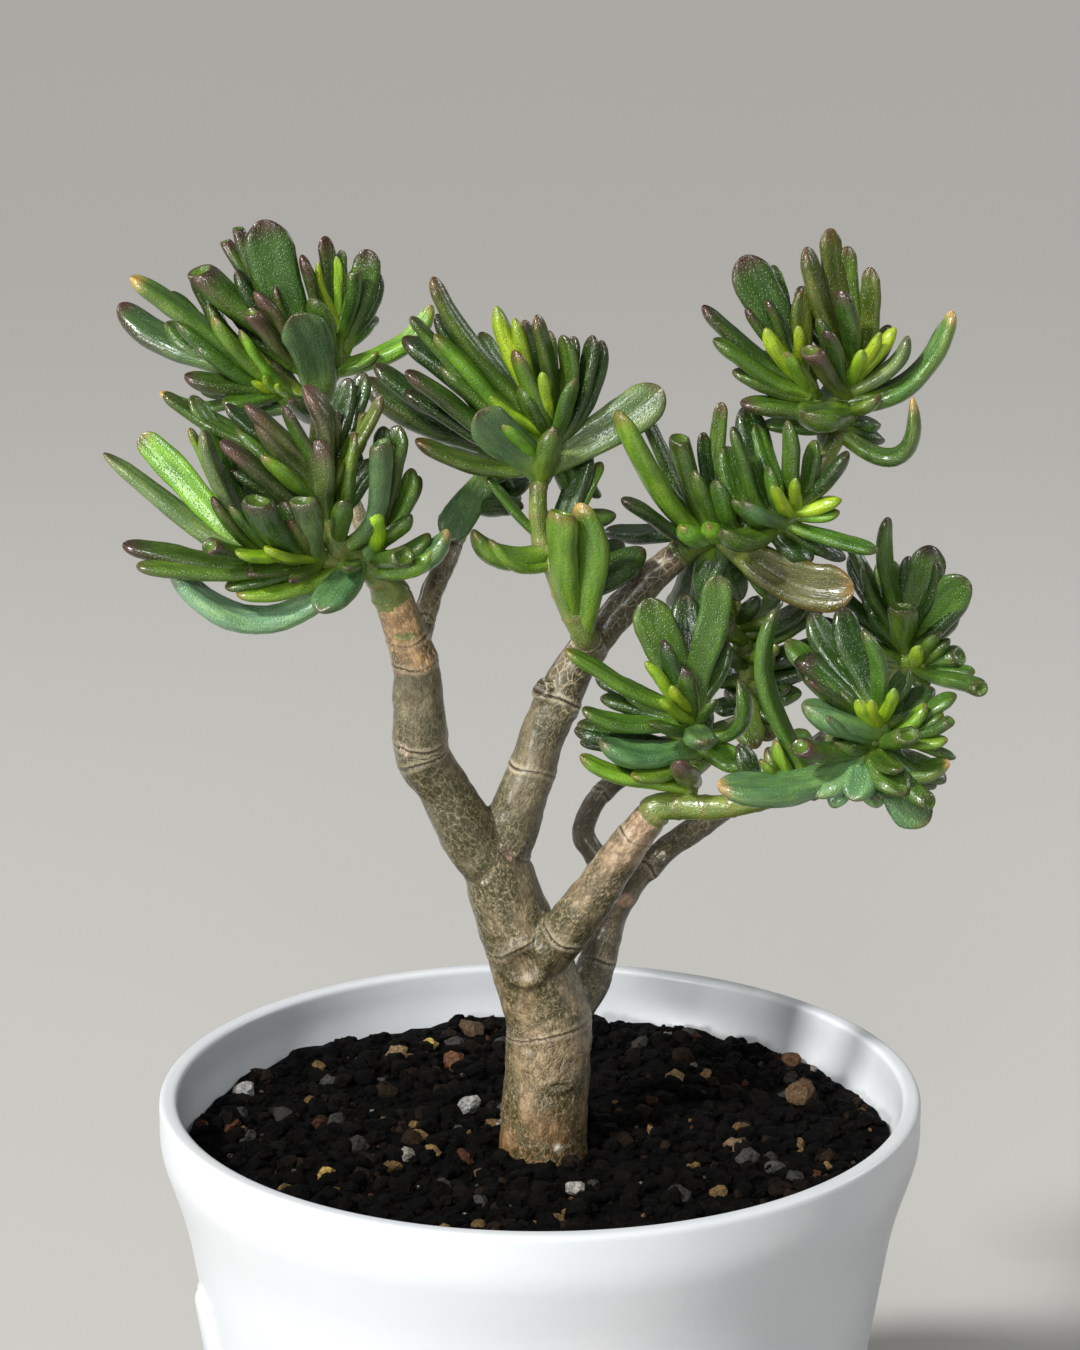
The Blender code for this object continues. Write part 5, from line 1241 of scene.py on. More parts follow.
def leaf_colours(tone, along, dish, draw):
    """A leaf's colour at each point: pale at its root, tinged at its tip and along its edges, and in a cut
    tip's hollow darkened as painted shade and turned toward the root green.
    """
    body, point, start, edge = TONES[tone]
    light = 1 + draw.uniform(-TONE_SPREAD, TONE_SPREAD)
    warm = 1 + draw.uniform(-TONE_SPREAD, TONE_SPREAD) * WARMTH_SPREAD
    body = np.array(body) * light * np.array((warm, 1.0, 1.0))
    colours = blend(body, ROOT_GREEN, ROOT_TINT * (1 - ramp(*ROOT_TINT_SHARES, along)))
    edges = np.abs(np.cos(LEAF_TURNS)) ** EDGE_SHARPNESS
    colours = blend(colours, point, EDGE_TINT * edge * edges[None, :] * ramp(*EDGE_TINT_SHARES, along))
    colours = blend(colours, point, ramp(start - TIP_LEAD, 1.0, along) * TIP_TINT)
    if dish:
        inner = len(DISH_RINGS)
        colours[-inner:] = blend(body * HOLLOW_PAINTED_SHADE, ROOT_GREEN, np.full((inner, LEAF_SIDES), HOLLOW_GREEN))
        rim = np.full((2, LEAF_SIDES), RIM_TINT + RIM_EDGE_TINT * edge)
        colours[-inner - 1 : -inner + 1] = blend(body, point, rim)
    return colours


def add_leaf(skin, root, tip, width, bow, form, tone, draw):
    """One leaf with its colours, added to a head's skin."""
    curl = draw.uniform(*CURL) if form != "spoon" else 0.0
    seed = draw.uniform(*LEAF_SEEDS)
    points, along, x, y, end = leaf_skin(root, tip, width, bow, form, curl, seed)
    points = kept_inside(points, np.clip(along[:, 0], 0.0, 1.0))
    end = np.clip(end, np.array(CAD_BOX[0]) + INSIDE, np.array(CAD_BOX[1]) - INSIDE)
    colours = leaf_colours(tone, along, FORMS[form]["dish"], draw)
    length = np.linalg.norm(np.array(tip - root))
    places = np.stack([x, y, along * length + draw.uniform(0.0, 1.0)], axis=-1)
    skin.add_rings(points[0].mean(axis=0), points, end, colours, places)


def add_stem(skin, stem, draw):
    """A green stem with the low scars of fallen leaves along it."""
    points, radii, along = arrays(stem)
    even = np.linspace(0.0, along[-1], max(int(along[-1] / STEM_STEP), STEM_STEPS_LEAST))
    points = places_at(even, along, points)
    scars = np.exp(-(((even / STEM_SCAR_SPACING) % 1.0 - 0.5) / STEM_SCAR_WIDTH) ** 2)
    radii = np.interp(even, along, radii) * (1 + STEM_SCAR_SWELL * scars)
    ahead, side, other = frames_along(points)
    turns = 2 * math.pi * np.arange(STEM_SIDES) / STEM_SIDES
    x, y = np.outer(radii, np.cos(turns)), np.outer(radii, np.sin(turns))
    rings = points[:, None] + x[..., None] * side[:, None] + y[..., None] * other[:, None]
    tone = np.array(STEM_GREEN) * (1 + draw.uniform(-STEM_TONE_SPREAD, STEM_TONE_SPREAD))
    scars, even = (np.repeat(values[:, None], STEM_SIDES, axis=1) for values in (scars, even))
    colours = blend(tone, STEM_SCAR, scars * STEM_SCAR_TINT)
    places = np.stack([x, y, even + draw.uniform(0.0, 1.0)], axis=-1)
    skin.add_rings(points[0], rings, points[-1] + ahead[-1] * radii[-1] * STEM_CAP, colours, places)


def build_head(name, lines, leaves, paint):
    """One head: its stems, its large leaves and its young ones."""
    draw = np.random.default_rng([TONE_SEED, list(HEADS).index(name)])
    skin = Skin()
    stems = green_lines(HEADS[name], lines, FINE_STEPS)
    foot, radius = stems[0][0]
    ahead = (stems[0][1][0] - foot).normalized()
    stems[0][0] = (foot - ahead * STEM_OVERLAP, radius * STEM_FOOT_SHARE)
    for stem in stems:
        add_stem(skin, stem, draw)
    for row in leaves:
        add_leaf(skin, *row, draw)
    return skin.finish(name + "_leaves", name, paint)


def tube(line, sides):
    """A round bar along a line of points and radii, as points and faces."""
    points, radii, _ = arrays(line)
    _, side, other = frames_along(points)
    turns = 2 * math.pi * np.arange(sides) / sides
    round_way = np.cos(turns)[:, None] * side[:, None] + np.sin(turns)[:, None] * other[:, None]
    rings = points[:, None] + radii[:, None, None] * round_way
    return np.concatenate([points[:1], rings.reshape(-1, 3), points[-1:]]), ring_faces(len(points), sides)


def joined_wood(lines):
    """Every woody branch as one smooth skin."""
    points, faces, count = [], [], 0
    for line in lines.values():
        some, skin = tube(line, WOOD_SIDES)
        points.append(some)
        faces += [tuple(corner + count for corner in face) for face in skin]
        count += len(some)
    mesh = bpy.data.meshes.new("wood")
    mesh.from_pydata(np.concatenate(points).tolist(), [], faces)
    rough = bpy.data.objects.new("wood", mesh)
    bpy.context.scene.collection.objects.link(rough)
    remesh = rough.modifiers.new("join", "REMESH")
    remesh.mode = "VOXEL"
    remesh.voxel_size = WOOD_VOXEL
    soften = rough.modifiers.new("soften", "SMOOTH")
    soften.factor = WOOD_SOFTNESS
    soften.iterations = WOOD_SMOOTHING
    graph = bpy.context.evaluated_depsgraph_get()
    made = bpy.data.meshes.new_from_object(rough.evaluated_get(graph))
    bpy.data.objects.remove(rough, do_unlink=True)
    return made


def wood_samples(lines):
    """Closely spaced places along every branch: where, how thick, how far along, which way, and whose."""
    rows = []
    for index, line in enumerate(lines.values()):
        points, radii, along = arrays(line)
        even = np.arange(0.0, along[-1], SAMPLE_STEP)
        points, radii = places_at(even, along, points), np.interp(even, along, radii)
        ahead, side, other = frames_along(points)
        rows.append(np.column_stack([points, radii, even, ahead, side, other, np.full(len(even), index)]))
    return np.concatenate(rows)


def wood_places(points, samples):
    """For each point of the wood its branch's index and thickness, and its place along and around it."""
    nearest = np.empty(len(points), int)
    for start in range(0, len(points), SAMPLE_BATCH):
        some = points[start : start + SAMPLE_BATCH]
        gaps = np.linalg.norm(some[:, None] - samples[None, :, :3], axis=2) - samples[None, :, 3]
        nearest[start : start + SAMPLE_BATCH] = gaps.argmin(axis=1)
    found = samples[nearest]
    way = points - found[:, :3]
    ahead, side, other = found[:, 5:8], found[:, 8:11], found[:, 11:14]
    along = found[:, 4] + np.sum(way * ahead, axis=1)
    return found[:, 14], found[:, 3], along, np.sum(way * side, axis=1), np.sum(way * other, axis=1)


def ring_places(name, line, draw):
    """How far along a branch its leaf-scar rings are."""
    points, _, along = arrays(line)
    _, down = shows_at(points)
    if name in SHOWN_RINGS:
        return [float(np.interp(-row, -down, along)) for row in SHOWN_RINGS[name]]
    place, drawn = draw.uniform(*RING_FIRST), []
    while place < along[-1]:
        drawn.append(place)
        place += draw.uniform(*RING_SPACING)
    return drawn


def bark_relief(lines, branch, thickness, along, x, y, points):
    """How far each point stands out, and how far off and how strong its nearest ring is."""
    draw = np.random.default_rng(RING_SEED)
    height = np.zeros(len(points))
    nearest, strength = np.full(len(points), RING_REACH), np.zeros(len(points))
    angle = np.arctan2(y, x)
    for index, (name, line) in enumerate(lines.items()):
        for place in ring_places(name, line, draw):
            tilt, turn = draw.uniform(*RING_TILTS) * RING_TILT, draw.uniform(-math.pi, math.pi)
            wave = tilt * thickness * np.cos(angle - turn) + RING_WAVE * np.sin(3 * angle + turn)
            gap = along - place - wave
            fading = 1 - RING_FADING + RING_FADING * np.cos(2 * angle + draw.uniform(-math.pi, math.pi))
            mine = (branch == index) * draw.uniform(*RING_STRENGTHS) * fading
            near = (mine > 0) & (np.abs(gap) < np.abs(nearest))
            nearest, strength = np.where(near, gap, nearest), np.where(near, mine, strength)
            height += mine * RING_HEIGHT * np.exp(-((gap / RING_WIDTH) ** 2))
            height -= mine * RING_CUT * np.exp(-((gap / RING_CUT_WIDTH) ** 2))
    lumps = [sum(share * noise.noise(Vector(point) / size) for share, size in LUMPS) for point in points]
    strength = strength * (1 - ramp(*RING_END, np.abs(nearest) / RING_REACH))
    return height + LUMP_HEIGHT * np.array(lumps), three(nearest / RING_REACH, strength)


def scar_relief(points, normals):
    """How far each scar stands out, how strongly it colours each point, and its colour."""
    right, down = shows_at(points)
    hidden = np.where(normals[:, 1] < FACING, 0.0, FAR_OFF)
    rim, rim_width = SCAR_RIM
    hollow, hollow_width = SCAR_HOLLOW
    edge, edge_width = SCAR_EDGE_RING
    for scar_right, scar_down, half_width, half_height, rise, strength, colour in SCARS:
        middle = points[(np.hypot(right - scar_right, down - scar_down) + hidden).argmin()]
        size = pixel_at(Vector(middle))
        away = points - middle
        share = np.hypot(np.hypot(away[:, 0], away[:, 1]) / half_width, away[:, 2] / half_height) / size
        raised = np.exp(-(((share - rim) / rim_width) ** 2))
        height = rise * (raised - hollow * np.exp(-((share / hollow_width) ** 2)))
        yield height, strength * np.exp(-((share / SCAR_FILL) ** 4)), colour
        yield 0.0 * height, SCAR_EDGE * np.exp(-(((share - edge) / edge_width) ** 2)), SCAR_DARK


def three(one, other):
    """Two values for each point as the three that a vector holds, the last of them left at nought."""
    return np.column_stack([one, other, np.zeros(len(one))])


def bark_marks(lines, branch, along, points):
    """How strongly each point shows dark cracks and a pale net."""
    right, down = shows_at(points)
    middle_right, middle_down, half_width, half_height = CRACKED
    share = np.hypot((right - middle_right) / half_width, (down - middle_down) / half_height)
    net = np.zeros(len(points))
    for index, (name, line) in enumerate(lines.items()):
        if name in PALE_NET:
            start, length = PALE_NET[name], arrays(line)[2][-1]
            net += (branch == index) * ramp(start, start + PALE_NET_FADE, along / length)
    return three(1 - ramp(*CRACKED_FADE, share), net)


def bark_colours(lines, branch, along, points):
    """The bark's colour at each point, but for the finest marks."""
    colours = np.zeros((len(points), 3))
    for index, (name, line) in enumerate(lines.items()):
        mine = branch == index
        share = along[mine] / arrays(line)[2][-1]
        colours[mine] = blend(*BARK_TONES[name], ramp(*TONE_STEPS.get(name, USUAL_TONE_STEP), share))
    above = points[:, 2] - (POT_HEIGHT - SOIL_DROP)
    return blend(colours, FOOT_BROWN, FOOT_BROWN_TINT * (1 - ramp(0.0, FOOT_BROWN_REACH, above)))


def mesh_values(items, kind, count):
    """Three values for each of a mesh's points."""
    found = np.empty(count * 3)
    items.foreach_get(kind, found)
    return found.reshape(-1, 3)


def build_wood(paint):
    """The trunk and branches in one skin, with rings, lumps, scars and colours."""
    lines = wood_lines(FINE_STEPS)
    mesh = joined_wood(lines)
    points = mesh_values(mesh.vertices, "co", len(mesh.vertices))
    normals = mesh_values(mesh.vertex_normals, "vector", len(mesh.vertices))
    branch, thickness, along, x, y = wood_places(points, wood_samples(lines))
    height, rings = bark_relief(lines, branch, thickness, along, x, y, points)
    colours = bark_colours(lines, branch, along, points)
    for rise, share, colour in scar_relief(points, normals):
        height += rise
        colours = blend(colours, colour, share)
    mesh.vertices.foreach_set("co", (points + normals * height[:, None]).ravel())
    place = np.column_stack([x, y, along + branch])
    keep_values(mesh, colours, place=place, marks=bark_marks(lines, branch, along, points), rings=rings)
    return settle(bpy.data.objects.new("wood_bark", mesh), "trunk", paint)


def wall_radius(height):
    """The radius of the pot's outer wall below the shoulder."""
    share = height / (POT_HEIGHT - SHOULDER_DROP)
    return FOOT_RADIUS + share * (SHOULDER_RADIUS - FOOT_RADIUS)


def rounded(corner, before, after, size, steps=6):
    """Points on a soft corner between two straight runs."""
    corner, before, after = np.array(corner), np.array(before), np.array(after)
    start = corner + unit(before - corner) * size
    end = corner + unit(after - corner) * size
    shares = np.linspace(0.0, 1.0, steps)[:, None]
    return ((1 - shares) ** 2 * start + 2 * shares * (1 - shares) * corner + shares**2 * end).tolist()


def pot_outline():
    """The pot's section, round the lip and down the outside, then up the inside, as (radius, height)."""
    shoulder = (SHOULDER_RADIUS, POT_HEIGHT - SHOULDER_DROP)
    band = (RIM_RADIUS, POT_HEIGHT - RIM_BAND)
    top = (RIM_RADIUS, POT_HEIGHT)
    inner_top = (RIM_RADIUS - WALL, POT_HEIGHT)
    inner_band = (RIM_RADIUS - WALL, POT_HEIGHT - RIM_BAND + BAND_TAPER)
    inner_shoulder = (SHOULDER_RADIUS - WALL, shoulder[1])
    foot = (FOOT_RADIUS - FOOT_BEVEL, 0.0)
    edge = (wall_radius(FOOT_BEVEL), FOOT_BEVEL)
    corner = (FOOT_RADIUS - WALL - INNER_CORNER, FLOOR)
    lip = LIP_ROUNDING * LIP_SOFTNESS
    outside = [
        *rounded(top, inner_top, band, lip),
        *rounded(band, top, shoulder, BAND_SOFTNESS),
        *rounded(shoulder, band, edge, SHOULDER_SOFTNESS),
    ]
    low = edge[1] + WALL_STEP
    for height in np.arange(outside[-1][1] - WALL_STEP, low, -WALL_STEP):
        outside.append([wall_radius(height), height])
    outside += [
        *rounded(edge, outside[-1], foot, EDGE_SOFTNESS),
        foot,
        (FOOT_RADIUS - FOOT_RING_WIDTH, 0.0),
        (FOOT_RADIUS - FOOT_RING_WIDTH - FOOT_BEVEL, FOOT_RECESS),
        (0.0, FOOT_RECESS),
    ]
    inside = [
        (0.0, FLOOR),
        *rounded(corner, (0.0, FLOOR), inner_shoulder, INNER_CORNER),
        *rounded(inner_shoulder, corner, inner_band, SHOULDER_SOFTNESS),
        *rounded(inner_band, inner_shoulder, inner_top, BAND_SOFTNESS),
        *rounded(inner_top, inner_band, top, lip),
    ]
    return np.array(outside), np.array(inside)


def relief_height(bearing, height):
    """How far the spray of low leaves stands out of the wall."""
    across_wall = (bearing - RELIEF_BEARING) * wall_radius(height)
    up_wall = height - RELIEF_BASE
    shares, widths = np.array(RELIEF_OUTLINE).T
    found = np.zeros_like(across_wall)
    for lean in RELIEF_LEANS:
        turn = math.radians(lean)
        along = (across_wall * math.sin(turn) + up_wall * math.cos(turn)) / RELIEF_LENGTH - RELIEF_START
        across = across_wall * math.cos(turn) - up_wall * math.sin(turn)
        half = np.interp(along, shares, widths) * RELIEF_WIDTH / 2
        share = np.abs(across) / np.maximum(half, TINY)
        rise = np.clip(half / RELIEF_WIDTH * RELIEF_STEEPNESS, 0.0, 1.0)
        dome = np.sqrt(np.clip(1 - share**2, 0.0, 1.0)) * rise
        rib = RELIEF_RIB * np.exp(-((across / RELIEF_RIB_WIDTH) ** 2)) * (share < 1)
        found = np.maximum(found, RELIEF_HEIGHT * (dome - rib * dome))
    return found


def build_pot(paint):
    """The glazed pot, turned, with the spray in low relief on its left flank."""
    outside, inside = pot_outline()
    rows = np.concatenate([outside, inside])
    bearings = 2 * math.pi * np.arange(POT_SIDES) / POT_SIDES
    bearing, height = np.meshgrid(bearings, rows[:, 1])
    radius = np.repeat(rows[:, :1], POT_SIDES, axis=1)
    on_outside = (np.arange(len(rows)) < len(outside))[:, None]
    wall = on_outside & (height > FOOT_BEVEL) & (height < POT_HEIGHT - SHOULDER_DROP)
    radius = radius + np.where(wall, relief_height(bearing, height), 0.0)
    points = np.stack([radius * np.cos(bearing), radius * np.sin(bearing), height], axis=-1)
    faces = []
    for row in range(len(rows)):
        low, high = row * POT_SIDES, (row + 1) % len(rows) * POT_SIDES
        for i in range(POT_SIDES):
            j = (i + 1) % POT_SIDES
            faces.append((low + i, high + i, high + j, low + j))
    mesh = bpy.data.meshes.new("pot_glazed")
    mesh.from_pydata(points.reshape(-1, 3).tolist(), [], faces)
    work = bmesh.new()
    work.from_mesh(mesh)
    bmesh.ops.remove_doubles(work, verts=work.verts, dist=TINY)
    bmesh.ops.recalc_face_normals(work, faces=work.faces)
    work.to_mesh(mesh)
    work.free()
    return settle(bpy.data.objects.new("pot_glazed", mesh), "pot", paint)


def soil_level(x, y):
    """How high the soil lies, a shallow dish with gentle lumps."""
    top = POT_HEIGHT - SOIL_DROP - SOIL_DISH * (1 - math.hypot(x, y) / SOIL_RADIUS)
    lumps = [height * noise.noise(Vector((x, y, height)) / size) for height, size in BED_LUMPS]
    return top + sum(lumps)


def add_bed(skin):
    """The soil's body under its crumbs, from wall to wall."""
    turns = 2 * math.pi * np.arange(BED_SIDES) / BED_SIDES
    bottom = POT_HEIGHT - SOIL_DROP - BED_DEPTH
    edge = wall_radius(bottom) - WALL - GAP
    points = [(0.0, 0.0, bottom), *((edge * math.cos(t), edge * math.sin(t), bottom) for t in turns)]
    for radius in np.linspace(SOIL_RADIUS - GAP, BED_MIDDLE, BED_RINGS):
        for x, y in ((radius * math.cos(t), radius * math.sin(t)) for t in turns):
            points.append((x, y, soil_level(x, y)))
    points.append((0.0, 0.0, points[-BED_SIDES][2]))
    skin.add(np.array(points), ring_faces(BED_RINGS + 1, BED_SIDES), CRUMB_TONES[0][0], np.array(points))


def ball(subdivisions):
    """The points and faces of a ball of radius one."""
    work = bmesh.new()
    bmesh.ops.create_icosphere(work, subdivisions=subdivisions, radius=1.0)
    points = np.array([tuple(vertex.co) for vertex in work.verts])
    faces = [tuple(vertex.index for vertex in face.verts) for face in work.faces]
    work.free()
    return points, faces


def turned(points, turns):
    """Points turned about the three axes by these angles."""
    for axis, turn in enumerate(turns):
        a, b = (axis + 1) % 3, (axis + 2) % 3
        moved = points.copy()
        moved[:, a] = points[:, a] * math.cos(turn) - points[:, b] * math.sin(turn)
        moved[:, b] = points[:, a] * math.sin(turn) + points[:, b] * math.cos(turn)
        points = moved
    return points


def add_crumb(skin, shape, middle, radius, flat, colour, draw):
    """One angular crumb of soil or stone."""
    points, faces = shape
    rough = points * (1 + draw.uniform(-CRUMB_ROUGHNESS, CRUMB_ROUGHNESS, (len(points), 1)))
    rough = rough * (1.0, draw.uniform(*CRUMB_NARROWNESS), flat)
    rough = turned(rough, draw.uniform(-CRUMB_LEAN, CRUMB_LEAN, 3) * CRUMB_TURNS)
    skin.add(middle + rough * radius, faces, colour, rough * radius + draw.uniform(-1.0, 1.0, 3))


def add_crumbs(skin, fine, coarse, foot, draw):
    """Crumbs over the whole bed, but for the trunk's place."""
    tones = [np.array(tone) for tone, _ in CRUMB_TONES]
    odds = np.array([count for _, count in CRUMB_TONES], float)
    least, most = CRUMB_RADII
    for _ in range(CRUMBS):
        radius = least + (most - least) * draw.random() ** CRUMB_SIZE_POWER
        reach = (SOIL_RADIUS - radius * CRUMB_CLEAR) * math.sqrt(draw.random())
        turn = draw.uniform(0.0, 2 * math.pi)
        x, y = reach * math.cos(turn), reach * math.sin(turn)
        if math.hypot(x - foot.x, y - foot.y) < TRUNK_CLEAR + radius:
            continue
        middle = np.array((x, y, soil_level(x, y) + radius * draw.uniform(*CRUMB_RISES)))
        colour = tones[draw.choice(len(tones), p=odds / odds.sum())] * draw.uniform(*CRUMB_SHADES)
        shape = coarse if radius > LARGE_CRUMB else fine
        add_crumb(skin, shape, middle, radius, draw.uniform(*CRUMB_FLATNESS), colour, draw)


def add_stones(skin, shape, draw):
    """The larger stones, where the photograph shows them."""
    for (right, down, half), colour in zip(STONES, STONE_TONES):
        sight = seen(right, down, 0.0) - EYE
        spot = EYE + sight * ((POT_HEIGHT - SOIL_DROP - EYE.z) / sight.z)
        radius = half * pixel_at(spot)
        inward = min(1.0, (SOIL_RADIUS - STONE_CLEAR * radius) / math.hypot(spot.x, spot.y))
        middle = np.array((spot.x * inward, spot.y * inward, spot.z + radius * STONE_RISE))
        add_crumb(skin, shape, middle, radius, STONE_FLATNESS, colour, draw)


def build_soil(paint, foot):
    """The potting mix: its bed, its crumbs and the larger stones."""
    draw = np.random.default_rng(SOIL_SEED)
    skin = Skin()
    add_bed(skin)
    fine, coarse = ball(1), ball(2)
    add_crumbs(skin, fine, coarse, foot, draw)
    add_stones(skin, coarse, draw)
    return skin.finish("soil_crumbs", "soil", paint, flat=True)


class Paint:
    """A material whose nodes are made by short calls."""

    def __init__(self, name):
        self.material = bpy.data.materials.new(name)
        self.material.use_nodes = True
        self.tree = self.material.node_tree
        self.shader = self.tree.nodes["Principled BSDF"]

    def node(self, kind, **inputs):
        """A node of this kind, with these inputs set or linked."""
        return self.fill(self.tree.nodes.new("ShaderNode" + kind), inputs)

    def surface(self, **inputs):
        """The material, once these inputs of its shader are set or linked."""
        self.fill(self.shader, inputs)
        return self.material

    def fill(self, node, inputs):
        """A node with these inputs set or linked, each named with _ for a space."""
        for name, value in inputs.items():
            self.give(node.inputs[name.replace("_", " ")], value)
        return node

    def give(self, socket, value):
        """Sets a socket, or links it where the value is another node's output."""
        if isinstance(value, bpy.types.NodeSocket):
            self.tree.links.new(value, socket)
        else:
            socket.default_value = value

    def kept(self, name, output="Vector"):
        """What the mesh holds under this name."""
        made = self.node("Attribute")
        made.attribute_name = name
        return made.outputs[output]

    def tint(self):
        """The colour that the mesh holds."""
        return self.kept("tint", "Color")

    def place(self, pattern):
        """The place along the branch or leaf that the mesh holds, as fine as this pattern."""
        return self.scaled(self.kept("place"), pattern)

    def object_place(self, pattern):
        """The place in the object, as fine as this pattern."""
        return self.scaled(self.node("TexCoord").outputs["Object"], pattern)

    def scaled(self, vector, pattern):
        """A vector scaled along each axis to the fineness of this pattern."""
        return self.node("Mapping", Vector=vector, Scale=FINENESS[pattern]).outputs["Vector"]

    def noise(self, vector, detail=3.0, roughness=0.55):
        """Cloudy noise from 0 to 1."""
        made = self.node("TexNoise", Vector=vector, Scale=1.0, Detail=detail, Roughness=roughness)
        return made.outputs["Fac"]

    def cells(self, vector, feature="F1"):
        """Distance to the nearest cell point, or to the cell's edge."""
        made = self.node("TexVoronoi", Vector=vector, Scale=1.0)
        made.feature = feature
        return made.outputs["Distance"]

    def ramp(self, value, low, high, start=0.0, end=1.0):
        """A value brought from one range to another, and kept in it."""
        given = {"Value": value, "From_Min": low, "From_Max": high, "To_Min": start, "To_Max": end}
        return self.node("MapRange", **given).outputs["Result"]

    def mix(self, share, one, other, kind="MIX"):
        """A mix of two colours."""
        made = self.node("Mix")
        made.data_type = "RGBA"
        made.blend_type = kind
        for name, given in zip(("Factor_Float", "A_Color", "B_Color"), (share, one, other)):
            socket = next(s for s in made.inputs if s.identifier == name)
            self.give(socket, (*given, 1.0) if isinstance(given, tuple) and len(given) == 3 else given)
        return next(s for s in made.outputs if s.identifier == "Result_Color")

    def sum(self, one, other, kind="ADD"):
        """Two values put together, added unless said otherwise."""
        made = self.node("Math")
        made.operation = kind
        self.give(made.inputs[0], one)
        self.give(made.inputs[1], other)
        return made.outputs["Value"]

    def times(self, one, other):
        """One value times another."""
        return self.sum(one, other, "MULTIPLY")

    def bump(self, height, distance, wax=0.0):
        """Gives the surface fine relief of this height in metres, and its wax a share of that."""
        made = self.node("Bump", Height=height, Distance=distance)
        self.give(self.shader.inputs["Normal"], made.outputs["Normal"])
        if wax:
            made = self.node("Bump", Height=height, Distance=distance * wax)
            self.give(self.shader.inputs["Coat Normal"], made.outputs["Normal"])


def leaf_paint():
    """Fleshy leaves: waxy, finely speckled, with faint streaks along them."""
    paint = Paint("leaf_waxy")
    streaks = paint.noise(paint.place("leaf streaks"), 4.0)
    mottle = paint.noise(paint.place("leaf mottle"))
    pits = paint.ramp(paint.cells(paint.place("leaf pits")), 0.10, 0.40, 1.0, 0.0)
    colour = paint.mix(paint.ramp(streaks, 0.35, 0.68), paint.tint(), HUES["leaf streak"], "MULTIPLY")
    colour = paint.mix(paint.ramp(mottle, 0.42, 0.70, 0.0, 0.9), colour, HUES["leaf glow"], "MULTIPLY")
    colour = paint.mix(paint.times(pits, 0.14), colour, HUES["leaf speck"])
    paint.bump(paint.sum(paint.times(pits, 0.5), paint.sum(streaks, mottle)), LEAF_GRAIN, LEAF_WAX_SHARE)
    return paint.surface(
        Base_Color=colour,
        Roughness=paint.ramp(mottle, 0.30, 0.70, 0.24, 0.42),
        Subsurface_Weight=0.08,
        Subsurface_Radius=LEAF_GLOW_REACH,
        Subsurface_Scale=LEAF_GLOW_DEPTH,
        Specular_IOR_Level=0.45,
        Coat_Weight=0.40,
        Coat_Roughness=0.15,
    )


def ring_shares(paint, jitter):
    """How dark a ring's line and how pale its lips make the bark, frayed a little by some noise."""
    kept = paint.node("SeparateXYZ", Vector=paint.kept("rings")).outputs
    off = paint.sum(kept["X"], paint.ramp(jitter, 0.3, 0.7, -0.05, 0.05))
    off = paint.sum(off, 0.0, "ABSOLUTE")
    dark = paint.times(paint.ramp(off, 0.02, 0.10, 1.0, 0.0), kept["Y"])
    lips = paint.times(paint.ramp(off, 0.08, 0.14), paint.ramp(off, 0.22, 0.42, 1.0, 0.0))
    return dark, paint.times(lips, kept["Y"])


def wavy_net(paint):
    """Thin lines between cells, bent by a cloudy drift."""
    drift = paint.node("TexNoise", Vector=paint.place("bark drift"), Scale=1.0).outputs["Color"]
    bent = paint.node("VectorMath")
    bent.operation = "MULTIPLY_ADD"
    for socket, value in zip(bent.inputs, (paint.place("bark net"), (1.0, 1.0, 1.0), drift)):
        paint.give(socket, value)
    return paint.ramp(paint.cells(bent.outputs["Vector"], "DISTANCE_TO_EDGE"), 0.01, 0.08, 1.0, 0.0)


def bark_paint():
    """Smooth grey-olive bark: mottled in cream and olive, with fine rings, cracks and a pale net."""
    paint = Paint("bark_ringed")
    patches = paint.noise(paint.place("bark patches"))
    blotches = paint.noise(paint.place("bark blotches"), 5.0, 0.7)
    specks = paint.noise(paint.place("bark specks"), 3.0, 0.7)
    streaks = paint.noise(paint.place("bark streaks"), 3.0, 0.6)
    lines = wavy_net(paint)
    marks = paint.node("SeparateXYZ", Vector=paint.kept("marks")).outputs
    dark, lips = ring_shares(paint, specks)
    colour = paint.mix(paint.ramp(blotches, 0.46, 0.56), paint.tint(), HUES["bark cream"], "MULTIPLY")
    colour = paint.mix(paint.ramp(streaks, 0.40, 0.56, 0.45, 0.0), colour, HUES["bark streak"], "MULTIPLY")
    grown = paint.ramp(patches, 0.40, 0.54)
    olive = paint.times(paint.ramp(grown, 0.0, 1.0, 0.15, 1.0), paint.ramp(specks, 0.39, 0.49))
    olive = paint.times(olive, paint.ramp(marks["X"], 0.0, 1.0, 0.90, 0.25))
    patchy = paint.ramp(blotches, 0.40, 0.60, 1.0, 0.2)
    cracks = paint.times(paint.times(lines, marks["X"]), patchy)
    netted = paint.sum(marks["Y"], paint.times(grown, 0.45), "MAXIMUM")
    net = paint.times(paint.times(lines, netted), patchy)
    colour = paint.mix(olive, colour, HUES["bark olive"])
    colour = paint.mix(paint.times(cracks, 0.85), colour, HUES["bark crack"])
    colour = paint.mix(paint.times(net, 0.80), colour, HUES["bark net"])
    colour = paint.mix(paint.times(lips, 0.60), colour, HUES["bark lip"])
    colour = paint.mix(paint.times(dark, 0.95), colour, HUES["bark ring"])
    grain = paint.sum(paint.times(streaks, 0.35), paint.sum(blotches, specks))
    paint.bump(paint.sum(grain, paint.times(paint.sum(cracks, dark), -0.6)), BARK_GRAIN)
    return paint.surface(
        Base_Color=colour,
        Roughness=paint.ramp(blotches, 0.3, 0.7, 0.26, 0.42),
        Specular_IOR_Level=0.45,
        Coat_Weight=0.40,
        Coat_Roughness=0.27,
    )


